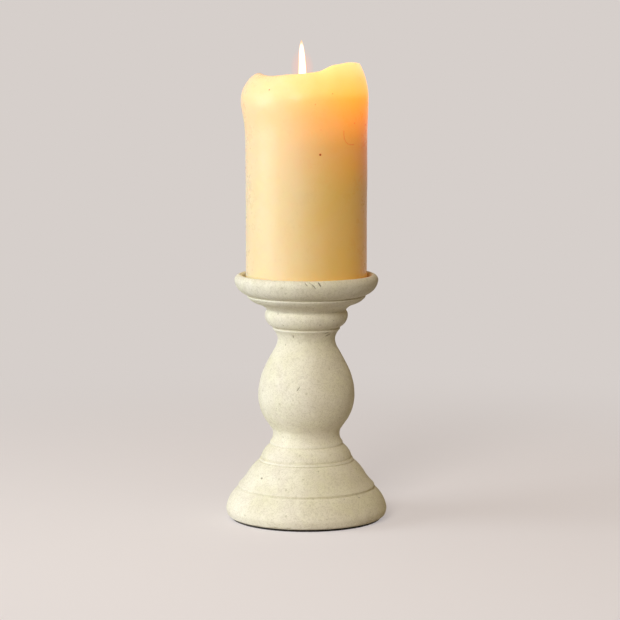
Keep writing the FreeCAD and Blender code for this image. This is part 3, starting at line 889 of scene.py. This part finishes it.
def make_stone(settings):
    """Cast stone: chalky cream with soft clouds and grain, painted shade with dust in its grooves,
    painted shade in its pits, and wear with painted highlight on its edges.
    """
    tree, shader = new_material(
        "cream_stone", Specular_IOR_Level=0.25, Sheen_Weight=0.08, Sheen_Roughness=0.6)
    place = object_place(tree)
    clouds = use_group(tree, "clouds", Vector=place, Scale=34.0, Hardness=0.2)
    patches = use_group(tree, "clouds", Vector=place, Scale=90.0, Hardness=0.24)
    grain = use_group(tree, "grain", Vector=place, Scale=1300.0, Coarseness=0.3)
    flecks = use_group(tree, "flecks", Vector=place, Scale=520.0, Share=0.05, Size=0.45)
    veins = use_group(tree, "veins", Vector=place, Scale=440.0, Width=0.07)
    colour = rgba(settings.stone_light)
    for mask, share, top in [
        (clouds["Mask"], 0.7, settings.stone_olive),
        (patches["Mask"], 0.4, settings.stone_shade),
        (veins["Mask"], 0.24, settings.stone_stain_and_shade),
        (grain["Tint"], 0.12, settings.stone_stain_and_shade),
        (flecks["Mask"], 0.3, settings.stone_stain_and_shade),
        # Painted shade with dust in the grooves.
        (attribute_value(tree, "groove_dust_and_shade"), 0.3, settings.stone_stain_and_shade),
        # Wear, and painted highlight on the beads, the lip and the dish's fillet.
        (attribute_value(tree, "wear_and_painted_highlight"), 0.7, settings.stone_wear_and_highlight),
        # Painted shade in the pits.
        (attribute_value(tree, "pit"), 0.85, settings.pit_shade_colour),
    ]:
        colour = lay_over(tree, colour, mask, share, top)
    join(tree, colour, shader, "Base Color")
    join(tree, vary(tree, grain["Tint"], 0.82, 0.95), shader, "Roughness")
    hollows = calculate(tree, "MULTIPLY", flecks["Mask"], 0.5)
    bump(tree, shader, calculate(tree, "SUBTRACT", grain["Height"], hollows), 0.35 * MM, 0.55)


def make_felt(settings):
    """Felt: dark matted wool with pale fibres."""
    tree, shader = new_material(
        "matted_felt", Roughness=0.97, Sheen_Weight=0.5, Sheen_Roughness=0.5, Specular_IOR_Level=0.15)
    place = object_place(tree)
    grain = use_group(tree, "grain", Vector=place, Scale=2600.0, Coarseness=0.3)
    flecks = use_group(tree, "flecks", Vector=place, Scale=900.0, Share=0.2, Size=0.5)
    pale = tuple(min(1.0, 2.6 * c) for c in settings.felt_colour)
    colour = mix_colours(tree, grain["Tint"], rgba(settings.felt_colour), rgba(pale))
    join(tree, lay_over(tree, colour, flecks["Mask"], 0.5, pale), shader, "Base Color")
    bump(tree, shader, grain["Height"], 0.5 * MM, 0.8)


def make_plated(name, colour, roughness):
    """Plated steel: dull patches and a fine, uneven grain."""
    tree, shader = new_material(name, Metallic=1.0)
    place = object_place(tree)
    clouds = use_group(tree, "clouds", Vector=place, Scale=260.0, Hardness=0.15)
    grain = use_group(tree, "grain", Vector=place, Scale=2200.0, Coarseness=0.4)
    dull = tuple(0.72 * c for c in colour)
    tint = lay_over(tree, rgba(colour), clouds["Mask"], 0.7, dull)
    join(tree, tint, shader, "Base Color")
    join(tree, vary(tree, grain["Tint"], roughness, roughness + 0.18), shader, "Roughness")
    bump(tree, shader, grain["Height"], 0.08 * MM, 0.5)


def painted_wax_glow(tree, place):
    """Painted glow: the flame's light coming through the wax, given off by the wax itself: by height,
    less on the left and in the bowl.
    """
    axes = new_node(tree, "ShaderNodeSeparateXYZ", {"Vector": place})
    low = CANDLE_BASE + 55 * MM
    high = CANDLE_BASE + 127 * MM
    climb = new_node(tree, "ShaderNodeMapRange", {
        "Value": axes.outputs["Z"], "From Min": low, "From Max": high}).outputs["Result"]
    glow = colour_ramp(tree, climb, [
        (0.0, (0.075, 0.010, 0.0)),
        (0.35, (0.24, 0.024, 0.0)),
        (0.54, (0.57, 0.095, 0.0)),
        (0.72, (0.74, 0.21, 0.0)),
        (0.78, (0.85, 0.32, 0.04)),
        (0.875, (0.92, 0.38, 0.09)),
        (1.0, (0.95, 0.55, 0.22)),
    ])
    side = new_node(tree, "ShaderNodeMapRange", {
        "Value": axes.outputs["X"], "From Min": -36 * MM, "From Max": 36 * MM,
        "To Min": 0.16, "To Max": 1.0}).outputs["Result"]
    flat = vector_sum(tree, "MULTIPLY", place, (1, 1, 0))["Vector"]
    from_axis = vector_sum(tree, "LENGTH", flat)["Value"]
    outside = remap(tree, from_axis, 22 * MM, 30 * MM, 0.3, 1.0)
    return mix_colours(tree, calculate(tree, "MULTIPLY", side, outside), (0, 0, 0, 1), glow)


def round_place(angle, height, radius):
    """A place given by its angle about the axis in degrees, and its height and radius in millimetres."""
    bearing = math.radians(angle)
    return (radius * MM * math.cos(bearing), radius * MM * math.sin(bearing), height * MM)


def wax_marks_mask(tree, place):
    """Every speck, hair and crack of the wax, by how dark each is."""
    total = None
    for *places, half_width, dark in WAX_MARKS:
        stroke = use_group(
            tree, "stroke", Vector=place, Start=round_place(*places[:3]),
            End=round_place(*places[3:]), **{"Half Width": half_width * MM})
        share = calculate(tree, "MULTIPLY", stroke["Mask"], dark)
        total = share if total is None else calculate(tree, "MAXIMUM", total, share)
    return total


def make_wax(settings):
    """Wax: satin, translucent and warm, with painted shade warmer on its right side and a painted glow
    where the flame shines through it.
    """
    tree, shader = new_material(
        "pillar_wax", Subsurface_Weight=0.5, Subsurface_Radius=(1.0, 0.5, 0.25),
        Subsurface_Scale=4 * MM, Specular_IOR_Level=0.2, IOR=1.44, Coat_Roughness=0.22,
        Coat_IOR=1.44, Emission_Strength=1.3)
    place = object_place(tree)
    clouds = use_group(tree, "clouds", Vector=place, Scale=26.0, Hardness=0.2)
    grain = use_group(tree, "grain", Vector=place, Scale=500.0, Coarseness=0.6)
    axes = new_node(tree, "ShaderNodeSeparateXYZ", {"Vector": place})
    # Painted shade: the right side, away from the window, turns towards the warmer colour; clouds add
    # warmer patches at random.
    right = remap(tree, axes.outputs["X"], -22 * MM, 30 * MM, 0.0, 0.8)
    shade_side_and_clouds = calculate(tree, "ADD", right, calculate(tree, "MULTIPLY", clouds["Mask"], 0.2))
    colour = mix_colours(tree, shade_side_and_clouds, rgba(settings.wax_colour), rgba(settings.wax_warm_and_shade))
    marks = wax_marks_mask(tree, place)
    colour = mix_colours(tree, marks, colour, rgba(settings.speck_colour))
    join(tree, colour, shader, "Base Color")
    join(tree, vary(tree, grain["Tint"], 0.26, 0.36), shader, "Roughness")
    join(tree, vary(tree, clouds["Mask"], 0.02, 0.07), shader, "Coat Weight")
    ember_brown = (0.12, 0.02, 0)
    # The wax's emission is a painted glow of the flame's light.
    glow = lay_over(tree, painted_wax_glow(tree, place), marks, 0.7, ember_brown)
    join(tree, glow, shader, "Emission Color")
    bump(tree, shader, grain["Height"], 0.12 * MM, 0.35)


def make_molten(settings):
    """Molten wax: clear amber and wet, with a painted glow of the flame's light, brightest about the
    flame.
    """
    tree, shader = new_material(
        "clear_wax", Roughness=0.04, IOR=1.43, Subsurface_Weight=0.6,
        Subsurface_Radius=(1.0, 0.5, 0.2), Subsurface_Scale=5 * MM, Emission_Strength=1.0,
        Coat_Roughness=0.03)
    place = object_place(tree)
    centre = new_node(tree, "ShaderNodeMapping", {
        "Vector": place, "Location": (-FLAME_X, 0.0, -POOL_LEVEL)})
    away = vector_sum(tree, "LENGTH", centre.outputs["Vector"])["Value"]
    near = remap(tree, away, 2 * MM, 30 * MM, 1.0, 0.0)
    clouds = use_group(tree, "clouds", Vector=place, Scale=90.0, Hardness=0.15)
    deep = tuple(c * shade for c, shade in zip(settings.pool_colour, (0.95, 0.8, 0.55)))
    colour = mix_colours(tree, clouds["Mask"], rgba(settings.pool_colour), rgba(deep))
    join(tree, colour, shader, "Base Color")
    # Painted glow: the flame's light on the pool, given off by the pool itself.
    glow = mix_colours(tree, near, (0.25, 0.09, 0.01, 1), (0.7, 0.36, 0.11, 1))
    join(tree, glow, shader, "Emission Color")
    join(tree, vary(tree, clouds["Mask"], 0.7, 1.0), shader, "Coat Weight")
    bump(tree, shader, clouds["Mask"], 0.15 * MM, 0.3)


def make_wick_material(settings):
    """Cotton wick: pale at its foot, charred above, with a glowing end."""
    tree, shader = new_material(
        "wick_yarn", Roughness=0.95, Emission_Strength=2.0, Specular_IOR_Level=0.2)
    place = object_place(tree)
    axes = new_node(tree, "ShaderNodeSeparateXYZ", {"Vector": place})
    grain = use_group(tree, "grain", Vector=place, Scale=1800.0, Coarseness=0.3)
    ragged = calculate(tree, "MULTIPLY", grain["Height"], 3 * MM)
    height = calculate(tree, "ADD", axes.outputs["Z"], ragged)
    charred = remap(tree, height, POOL_LEVEL + 1.0 * MM, POOL_LEVEL + 4.5 * MM)
    colour = mix_colours(tree, charred, rgba(settings.wick_colour), rgba(settings.char_colour))
    join(tree, colour, shader, "Base Color")
    ember = remap(tree, height, WICK_TIP - 1.2 * MM, WICK_TIP + 1.5 * MM)
    glow = mix_colours(tree, ember, (0, 0, 0, 1), rgba(settings.ember_colour))
    join(tree, glow, shader, "Emission Color")
    bump(tree, shader, grain["Height"], 0.3 * MM, 0.7)


def make_flame_material(settings):
    """The flame's body: white-hot, peach at its edge and tip and blue at its root."""
    tree, shader = new_material(
        "flame_body_glow", Base_Color=(0, 0, 0, 1), Roughness=1.0, Specular_IOR_Level=0.0,
        Emission_Strength=1.6)
    axes = new_node(tree, "ShaderNodeSeparateXYZ", {"Vector": object_place(tree)})
    climb = remap(tree, axes.outputs["Z"], FLAME_LOW, FLAME_TIP)
    body = colour_ramp(tree, climb, [
        (0.0, (0.08, 0.12, 0.5)),
        (0.10, (0.9, 0.45, 0.15)),
        (0.22, settings.flame_core),
        (0.96, settings.flame_core),
        (1.0, settings.flame_edge),
    ])
    edge = new_node(tree, "ShaderNodeLayerWeight", {"Blend": 0.5}).outputs["Facing"]
    body = mix_colours(tree, remap(tree, edge, 0.25, 0.6), body, rgba(settings.flame_edge))
    join(tree, body, shader, "Emission Color")
    solid = remap(tree, edge, 0.5, 1.0, 1.0, 0.1)
    root = remap(tree, axes.outputs["Z"], FLAME_LOW, FLAME_LOW + 5 * MM, 0.3, 1.0)
    join(tree, calculate(tree, "MULTIPLY", solid, root), shader, "Alpha")


def make_halo_material(settings):
    """Painted glare: a soft glowing shell round the flame that fades towards its tip."""
    tree, shader = new_material(
        "flame_halo_glow", Base_Color=(0, 0, 0, 1), Roughness=1.0, Specular_IOR_Level=0.0,
        Emission_Strength=1.1, Emission_Color=rgba(settings.halo_colour))
    axes = new_node(tree, "ShaderNodeSeparateXYZ", {"Vector": object_place(tree)})
    edge = new_node(tree, "ShaderNodeLayerWeight", {"Blend": 0.5}).outputs["Facing"]
    inner = calculate(tree, "SUBTRACT", 1.0, edge, clamp=True)
    soft = calculate(tree, "POWER", inner, 2.0)
    fade = remap(tree, axes.outputs["Z"], FLAME_TIP - 14 * MM, FLAME_TIP - 3 * MM, 0.42, 0.0)
    behind = new_node(tree, "ShaderNodeNewGeometry").outputs["Backfacing"]
    weight = calculate(tree, "MULTIPLY", calculate(tree, "MULTIPLY", soft, fade), behind)
    join(tree, weight, shader, "Alpha")


def make_materials(holder, candle):
    """Every shared group and every material."""
    make_grain_group()
    make_flecks_group()
    make_clouds_group()
    make_veins_group()
    make_stroke_group()
    make_stone(holder)
    make_felt(holder)
    make_plated("zinc_plate", holder.zinc_colour, 0.26)
    make_plated("tin_plate", holder.tin_colour, 0.2)
    make_wax(candle)
    make_molten(candle)
    make_wick_material(candle)
    make_flame_material(candle)
    make_halo_material(candle)


class HOLDER_OT_turned_stone(bpy.types.Operator):
    """Make the foot, the stem and the dish"""

    bl_idname = "holder.turned_stone"
    bl_label = "Turned Stone"

    def execute(self, context):
        settings = context.scene.holder_settings
        for name, outline, base, joints, marks, seed, node in [
            ("turned_foot", FOOT_OUTLINE, FOOT_BASE, (0.0, 42.0), FOOT_MARKS, 3, "foot"),
            ("turned_stem", STEM_OUTLINE, STEM_BASE, (0.0, 77.6), STEM_MARKS, 5, "stem"),
            ("turned_dish", DISH_OUTLINE, DISH_BASE, (0.0,), DISH_MARKS, 7, "candle_dish"),
        ]:
            turned_stone(settings, name, outline, base, joints, marks, seed, node)
        return {"FINISHED"}


class HOLDER_OT_felt(bpy.types.Operator):
    """Make the felt pad under the foot"""

    bl_idname = "holder.felt"
    bl_label = "Felt Pad"

    def execute(self, context):
        pile = context.scene.holder_settings.felt_pile
        low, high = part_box("felt_pad")
        middle = (low[2] + high[2]) / 2
        fuzzy_from = high[0] - 1.5 * MM
        deselect_all()
        bpy.ops.mesh.primitive_cylinder_add(
            vertices=360, radius=high[0] - pile, depth=high[2] - low[2],
            end_fill_type="NGON", location=(0, 0, middle))
        piece = name_piece("felt_disc")
        bpy.ops.object.transform_apply(location=True, rotation=True, scale=True)
        edit_active("FACE", "DESELECT")
        mesh = bmesh.from_edit_mesh(piece.data)
        for face in mesh.faces:
            face.select = abs(face.normal.z) > 0.5
        for step in (0.4, 0.6, 1.2, 3.0, 9.0):
            bpy.ops.mesh.inset(thickness=step * MM)
        divide_uprights(piece, 0.5 * MM, 3)
        for vertex in piece.data.vertices:
            outward = Vector((vertex.co.x, vertex.co.y, 0))
            if outward.length > fuzzy_from:
                fuzz = pile * noise.noise(vertex.co * 900)
                vertex.co += outward.normalized() * fuzz
                thinned = 0.94 + 0.06 * noise.noise(vertex.co * 500)
                vertex.co.z = middle + (vertex.co.z - middle) * thinned
        finish_mesh(piece)
        use_material(piece, "matted_felt")
        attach(piece, "holder")
        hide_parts("felt_pad")
        return {"FINISHED"}


class HOLDER_OT_fastenings(bpy.types.Operator):
    """Cut the rod's thread, and finish the nuts and washers"""

    bl_idname = "holder.fastenings"
    bl_label = "Rod, Nuts and Washers"

    def execute(self, context):
        settings = context.scene.holder_settings
        radius = ROD_HIGH[0]
        pitch = settings.thread_pitch
        root = radius - settings.thread_depth
        spare_turns = 3
        turns = math.ceil((ROD_HIGH[2] - ROD_LOW[2]) / pitch) + spare_turns
        crest = 0.08 * pitch
        start = ROD_LOW[2] - pitch
        middle = start + pitch / 2
        end = start + pitch
        piece = draw_chain("threaded_rod", [
            (root, start), (root, start + crest), (radius, middle - crest),
            (radius, middle + crest), (root, end - crest), (root, end),
        ])
        bpy.ops.object.mode_set(mode="OBJECT")
        screw = piece.modifiers.new("thread", "SCREW")
        screw.angle = TURN
        screw.screw_offset = pitch
        screw.iterations = turns
        screw.steps = screw.render_steps = 24
        screw.use_merge_vertices = True
        screw.merge_threshold = 0.01 * MM
        apply_all(piece)
        bpy.ops.object.mode_set(mode="EDIT")
        bpy.ops.mesh.select_mode(type="VERT")
        for level, side in [(ROD_HIGH[2], 1), (ROD_LOW[2], -1)]:
            bpy.ops.mesh.select_all(action="SELECT")
            bpy.ops.mesh.bisect(
                plane_co=(0, 0, level), plane_no=(0, 0, side), clear_outer=True, use_fill=True)
        seal_mesh(merge=0.01 * MM)
        finish_mesh(piece, math.radians(30))
        use_material(piece, "zinc_plate")
        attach(piece, "holder")
        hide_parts("tie_rod")
        for node in ("foot_washer", "foot_nut", "dish_washer", "dish_nut"):
            use_material(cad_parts[node], "zinc_plate")
        use_material(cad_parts["wick_tab"], "tin_plate")
        return {"FINISHED"}


def rim_height(angle):
    """The height of the burned rim at an angle in degrees, eased between stations."""
    for (start, low), (end, high) in zip(RIM_HEIGHTS, RIM_HEIGHTS[1:]):
        if angle <= end:
            break
    share = (1 - math.cos(math.pi * (angle - start) / (end - start))) / 2
    return low + (high - low) * share


def place_ring(piece, ring, follows_rim, corners):
    """Set the selected ring of vertices to its radius and height round the axis.
    It is set wide by as much as subdivision will draw it in."""
    right_radius, left_radius, right_height, left_height = ring
    drawn_in = (2 + math.cos(TURN / corners)) / 3
    mesh = bmesh.from_edit_mesh(piece.data)
    for vertex in mesh.verts:
        if vertex.select:
            angle = math.atan2(vertex.co.y, vertex.co.x) % TURN
            leftness = (1 - math.cos(angle)) / 2
            radius = (right_radius + (left_radius - right_radius) * leftness) / drawn_in
            height = right_height + (left_height - right_height) * leftness
            if follows_rim:
                height = rim_height(math.degrees(angle)) - height
            vertex.co.x = radius * math.cos(angle) * MM
            vertex.co.y = radius * math.sin(angle) * MM
            vertex.co.z = CANDLE_BASE + height * MM
    bmesh.update_edit_mesh(piece.data)


def soften_wax(piece, depth):
    """The slow, shallow unevenness of a pillar that has been warm, always inwards."""
    slow, quick = 0.6, 0.25
    inside = 20 * MM
    for vertex in piece.data.vertices:
        outward = Vector((vertex.co.x, vertex.co.y, 0))
        if outward.length > inside:
            wander = noise.noise(vertex.co * 45) * slow + noise.noise(vertex.co * 110) * quick
            vertex.co += outward.normalized() * depth * (wander - slow)


class HOLDER_OT_wax(bpy.types.Operator):
    """Make the candle's wax, burned down lopsidedly into a bowl"""

    bl_idname = "holder.wax"
    bl_label = "Wax Pillar"

    def execute(self, context):
        settings = context.scene.candle_settings
        corners = settings.ring_corners
        sole = 35 * MM
        rings = [(ring, False) for ring in SIDE_RINGS]
        rings += [(ring, True) for ring in RIM_RINGS]
        rings += [(ring, False) for ring in BOWL_RINGS]
        deselect_all()
        bpy.ops.mesh.primitive_circle_add(
            vertices=corners, radius=sole, fill_type="NGON", location=(0, 0, CANDLE_BASE))
        piece = name_piece("wax_body")
        bpy.ops.object.transform_apply(location=True, rotation=True, scale=True)
        edit_active("FACE", "SELECT")
        bpy.ops.mesh.inset(thickness=6 * MM)
        bpy.ops.mesh.inset(thickness=12 * MM)
        bpy.ops.mesh.select_mode(type="VERT")
        bpy.ops.mesh.select_all(action="DESELECT")
        mesh = bmesh.from_edit_mesh(piece.data)
        for vertex in mesh.verts:
            vertex.select = math.hypot(vertex.co.x, vertex.co.y) > sole - MM
        mesh.select_flush(True)
        place_ring(piece, rings[0][0], False, corners)
        for ring, follows_rim in rings[1:]:
            bpy.ops.mesh.extrude_edges_move(TRANSFORM_OT_translate={"value": (0, 0, 0)})
            place_ring(piece, ring, follows_rim, corners)
        bpy.ops.mesh.edge_face_add()
        seal_mesh()
        smooth = piece.modifiers.new("smooth", "SUBSURF")
        smooth.levels = smooth.render_levels = settings.smoothing
        apply_all(piece)
        soften_wax(piece, settings.handling_dents)
        finish_mesh(piece, math.radians(60))
        use_material(piece, "pillar_wax")
        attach(piece, "candle")
        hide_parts("wax_pillar")
        return {"FINISHED"}


def bowl_radius(angle):
    """The bowl's inner radius at the pool's level, at an angle in radians."""
    right, left = BOWL_RINGS[1][:2]
    return (right + (left - right) * (1 - math.cos(angle)) / 2) * MM


class HOLDER_OT_pool(bpy.types.Operator):
    """Fill the bowl with molten wax that climbs a little at its edge and the wick"""

    bl_idname = "holder.pool"
    bl_label = "Melt Pool"

    def execute(self, context):
        wick_radius = context.scene.candle_settings.wick_radius
        disc = 20 * MM
        edge_climb, wick_climb, ripple = 0.9 * MM, 0.6 * MM, 0.05 * MM
        deselect_all()
        bpy.ops.mesh.primitive_circle_add(
            vertices=128, radius=disc, fill_type="NGON", location=(0, 0, POOL_LEVEL))
        piece = name_piece("molten_surface")
        bpy.ops.object.transform_apply(location=True, rotation=True, scale=True)
        edit_active("FACE", "SELECT")
        for step in (0.3, 0.5, 0.9, 1.6, 2.5, 3.2, 3.2, 3.0, 1.6, 0.9):
            bpy.ops.mesh.inset(thickness=step * MM)
        bpy.ops.object.mode_set(mode="OBJECT")
        for vertex in piece.data.vertices:
            share = math.hypot(vertex.co.x, vertex.co.y) / disc
            angle = math.atan2(vertex.co.y, vertex.co.x)
            reach = bowl_radius(angle) * share
            vertex.co.x = reach * math.cos(angle)
            vertex.co.y = reach * math.sin(angle)
            at_edge = math.exp(-(1 - share) * 18)
            at_wick = math.exp(-max(0.0, reach - wick_radius) / (1.2 * MM))
            vertex.co.z += edge_climb * at_edge + wick_climb * at_wick
            vertex.co.z += ripple * noise.noise(vertex.co * 120)
        make_active(piece)
        edit_active("FACE", "SELECT")
        bpy.ops.mesh.extrude_region_move(
            TRANSFORM_OT_translate={"value": (0, 0, POOL_LOW - POOL_LEVEL)})
        bpy.ops.transform.resize(value=(0.86, 0.86, 0.2), center_override=(0, 0, POOL_LOW))
        seal_mesh()
        finish_mesh(piece, math.radians(50))
        use_material(piece, "clear_wax")
        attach(piece, "candle")
        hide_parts("melt_pool")
        return {"FINISHED"}


def wick_centre(height):
    """The wick's middle at a height above the table: straight, then leaning left."""
    stand = POOL_LEVEL + 2.5 * MM
    rise = max(0.0, height - stand)
    full = WICK_TIP - stand
    return FLAME_X * (rise / full) ** 2


class HOLDER_OT_wick(bpy.types.Operator):
    """Braid the wick and char its end"""

    bl_idname = "holder.wick"
    bl_label = "Wick"

    def execute(self, context):
        radius = context.scene.candle_settings.wick_radius
        height = WICK_TIP - WICK_FOOT
        braid, burnt_length = 1.6 * MM, 5 * MM
        deselect_all()
        bpy.ops.mesh.primitive_cylinder_add(
            vertices=32, radius=radius, depth=height, end_fill_type="NGON",
            location=(0, 0, WICK_FOOT + height / 2))
        piece = name_piece("braided_wick")
        bpy.ops.object.transform_apply(location=True, rotation=True, scale=True)
        divide_uprights(piece, height / 2, 420)
        for vertex in piece.data.vertices:
            angle = math.atan2(vertex.co.y, vertex.co.x)
            climb = (vertex.co.z - WICK_FOOT) / braid
            plait = abs(math.sin(1.5 * angle + climb * 2)) + abs(math.sin(1.5 * angle - climb * 2))
            fray = noise.noise(vertex.co * 1600)
            burnt = max(0.0, (vertex.co.z - WICK_TIP + burnt_length) / burnt_length)
            swell = 0.84 + 0.10 * plait + 0.10 * fray - 0.25 * burnt ** 2
            offset = wick_centre(vertex.co.z)
            vertex.co.x = vertex.co.x * swell + offset
            vertex.co.y *= swell
        finish_mesh(piece)
        use_material(piece, "wick_yarn")
        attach(piece, "candle")
        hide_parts("wick")
        return {"FINISHED"}


class HOLDER_OT_flame(bpy.types.Operator):
    """Light the candle"""

    bl_idname = "holder.flame"
    bl_label = "Flame"

    def execute(self, context):
        spread = context.scene.candle_settings.halo_spread
        sway, steps = 0.25 * MM, 48
        points = sampled_outline(FLAME_OUTLINE, FLAME_LOW, 0.5 * MM)
        last_off_axis = max(i for i, (x, z) in enumerate(points) if x > 0)
        points = points[:last_off_axis + 2]
        core = spin_outline("flame_body", points, steps, closed=False)
        # The halo is painted glare: a glowing shell round the flame.
        halo_points = [
            (x + spread * math.sin(math.pi * i / (len(points) - 1)), z)
            for i, (x, z) in enumerate(points)
        ]
        halo = spin_outline("flame_halo", halo_points, steps, closed=False)
        for piece, material in [(core, "flame_body_glow"), (halo, "flame_halo_glow")]:
            for vertex in piece.data.vertices:
                climb = (vertex.co.z - FLAME_LOW) / (FLAME_TIP - FLAME_LOW)
                vertex.co.x += FLAME_X + sway * math.sin(climb * 4.5)
                vertex.co.y *= 0.9
            finish_mesh(piece)
            use_material(piece, material)
            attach(piece, "candle")
        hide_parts("flame")
        halo.visible_shadow = False
        core.visible_shadow = False
        deselect_all()
        bpy.ops.object.light_add(type="POINT", location=(FLAME_X, 0, FLAME_LOW + 9 * MM))
        lamp = bpy.context.active_object
        lamp.name = "flame_light"
        lamp.data.energy = 0.02
        lamp.data.color = (1.0, 0.58, 0.26)
        lamp.data.shadow_soft_size = 3 * MM
        lamp.parent = core
        return {"FINISHED"}


def area_light(name, azimuth, elevation, distance, width, energy, colour):
    """A soft square window: its bearing from the camera's side, positive to the left."""
    bearing = math.radians(azimuth)
    lift = math.radians(elevation)
    target = Vector((0, 0, 130 * MM))
    outward = Vector((
        -math.sin(bearing) * math.cos(lift), -math.cos(bearing) * math.cos(lift), math.sin(lift)))
    bpy.ops.object.light_add(type="AREA", location=target + outward * distance)
    lamp = bpy.context.active_object
    lamp.name = name
    lamp.rotation_euler = outward.to_track_quat("Z", "Y").to_euler()
    lamp.data.shape = "SQUARE"
    lamp.data.size = width
    lamp.data.energy = energy
    lamp.data.color = colour


def seen_directly(tree):
    """1 for rays from the camera and in reflections and glass, and 0 for the light that lands."""
    rays = new_node(tree, "ShaderNodeLightPath").outputs
    plain = calculate(tree, "MAXIMUM", rays["Is Camera Ray"], rays["Is Glossy Ray"])
    return calculate(tree, "MAXIMUM", plain, rays["Is Transmission Ray"])


def make_floor_material(colour, fill):
    """Plain pale floor. Part of its paleness is only for the camera and in
    reflections, and all of it farther off, where it meets the pale background."""
    tree, shader = new_material("floor", Roughness=0.9, Specular_IOR_Level=0.0)
    away = vector_sum(tree, "LENGTH", object_place(tree))["Value"]
    far = remap(tree, away, 120 * MM, 600 * MM)
    base = mix_colours(tree, far, rgba(tuple(0.8 * c for c in colour)), (0, 0, 0, 1))
    join(tree, base, shader, "Base Color")
    join(tree, mix_colours(tree, far, rgba(fill), rgba(colour)), shader, "Emission Color")
    join(tree, seen_directly(tree), shader, "Emission Strength")


def make_room(light, backdrop):
    """A world that lights with one colour and shows another."""
    world = bpy.data.worlds.new("room")
    world.use_nodes = True
    tree = world.node_tree
    tree.nodes.clear()
    ambient = new_node(tree, "ShaderNodeBackground", {"Color": rgba(light)})
    seen = new_node(tree, "ShaderNodeBackground", {"Color": rgba(backdrop)})
    both = new_node(tree, "ShaderNodeMixShader", {
        "Fac": seen_directly(tree), 1: ambient.outputs[0], 2: seen.outputs[0]})
    new_node(tree, "ShaderNodeOutputWorld", {"Surface": both.outputs[0]})
    return world


class HOLDER_OT_stage(bpy.types.Operator):
    """Set the floor, the backdrop, the lights and the camera"""

    bl_idname = "holder.stage"
    bl_label = "Stage"

    def execute(self, context):
        settings = context.scene.stage_settings
        scene = context.scene
        deselect_all()
        bpy.ops.mesh.primitive_plane_add(size=60, location=(0, 0, 0))
        floor = name_piece("floor")
        make_floor_material(settings.backdrop_colour, settings.floor_fill)
        use_material(floor, "floor")
        area_light(
            "window_left", azimuth=78, elevation=13, distance=1.3, width=0.9,
            energy=settings.key_strength, colour=(0.83, 0.92, 1.0))
        area_light(
            "window_front", azimuth=16, elevation=27, distance=1.5, width=0.5,
            energy=settings.front_strength, colour=(1.0, 0.98, 0.95))
        scene.world = make_room(settings.room_colour, settings.backdrop_colour)
        bpy.ops.object.camera_add(
            location=(settings.camera_side, -settings.camera_distance, settings.camera_height),
            rotation=(math.pi / 2 - settings.camera_pitch, 0, 0))
        camera = bpy.context.active_object
        camera.name = "camera"
        camera.data.sensor_width = 36.0
        camera.data.lens = settings.camera_lens
        camera.data.clip_start = 0.05
        scene.camera = camera
        scene.view_settings.view_transform = "Standard"
        return {"FINISHED"}


class HOLDER_OT_materials(bpy.types.Operator):
    """Mix every finish"""

    bl_idname = "holder.materials"
    bl_label = "Finishes"

    def execute(self, context):
        make_materials(context.scene.holder_settings, context.scene.candle_settings)
        return {"FINISHED"}


OPERATORS = (
    HOLDER_OT_materials,
    HOLDER_OT_turned_stone,
    HOLDER_OT_felt,
    HOLDER_OT_fastenings,
    HOLDER_OT_wax,
    HOLDER_OT_pool,
    HOLDER_OT_wick,
    HOLDER_OT_flame,
    HOLDER_OT_stage,
)


class HOLDER_PT_panel(bpy.types.Panel):
    """The holder's pieces and settings"""

    bl_idname = "HOLDER_PT_panel"
    bl_label = "Candle Holder"
    bl_space_type = "VIEW_3D"
    bl_region_type = "UI"
    bl_category = "Holder"

    def draw(self, context):
        for operator in OPERATORS:
            self.layout.operator(operator.bl_idname)
        for group in ("holder_settings", "candle_settings", "stage_settings"):
            settings = getattr(context.scene, group)
            box = self.layout.box()
            for name in settings.__annotations__:
                box.prop(settings, name)


SETTINGS = {
    "holder_settings": HolderSettings,
    "candle_settings": CandleSettings,
    "stage_settings": StageSettings,
}


def register():
    """Add the settings, the operators and the panel."""
    for name, group in SETTINGS.items():
        bpy.utils.register_class(group)
        setattr(bpy.types.Scene, name, PointerProperty(type=group))
    for operator in OPERATORS:
        bpy.utils.register_class(operator)
    bpy.utils.register_class(HOLDER_PT_panel)


def unregister():
    """Take them out again."""
    bpy.utils.unregister_class(HOLDER_PT_panel)
    for operator in reversed(OPERATORS):
        bpy.utils.unregister_class(operator)
    for name, group in SETTINGS.items():
        delattr(bpy.types.Scene, name)
        bpy.utils.unregister_class(group)


def main():
    """Make every piece and the stage."""
    register()
    bpy.ops.holder.materials()
    bpy.ops.holder.turned_stone()
    bpy.ops.holder.felt()
    bpy.ops.holder.fastenings()
    bpy.ops.holder.wax()
    bpy.ops.holder.pool()
    bpy.ops.holder.wick()
    bpy.ops.holder.flame()
    bpy.ops.holder.stage()


if __name__ == "__main__":
    main()
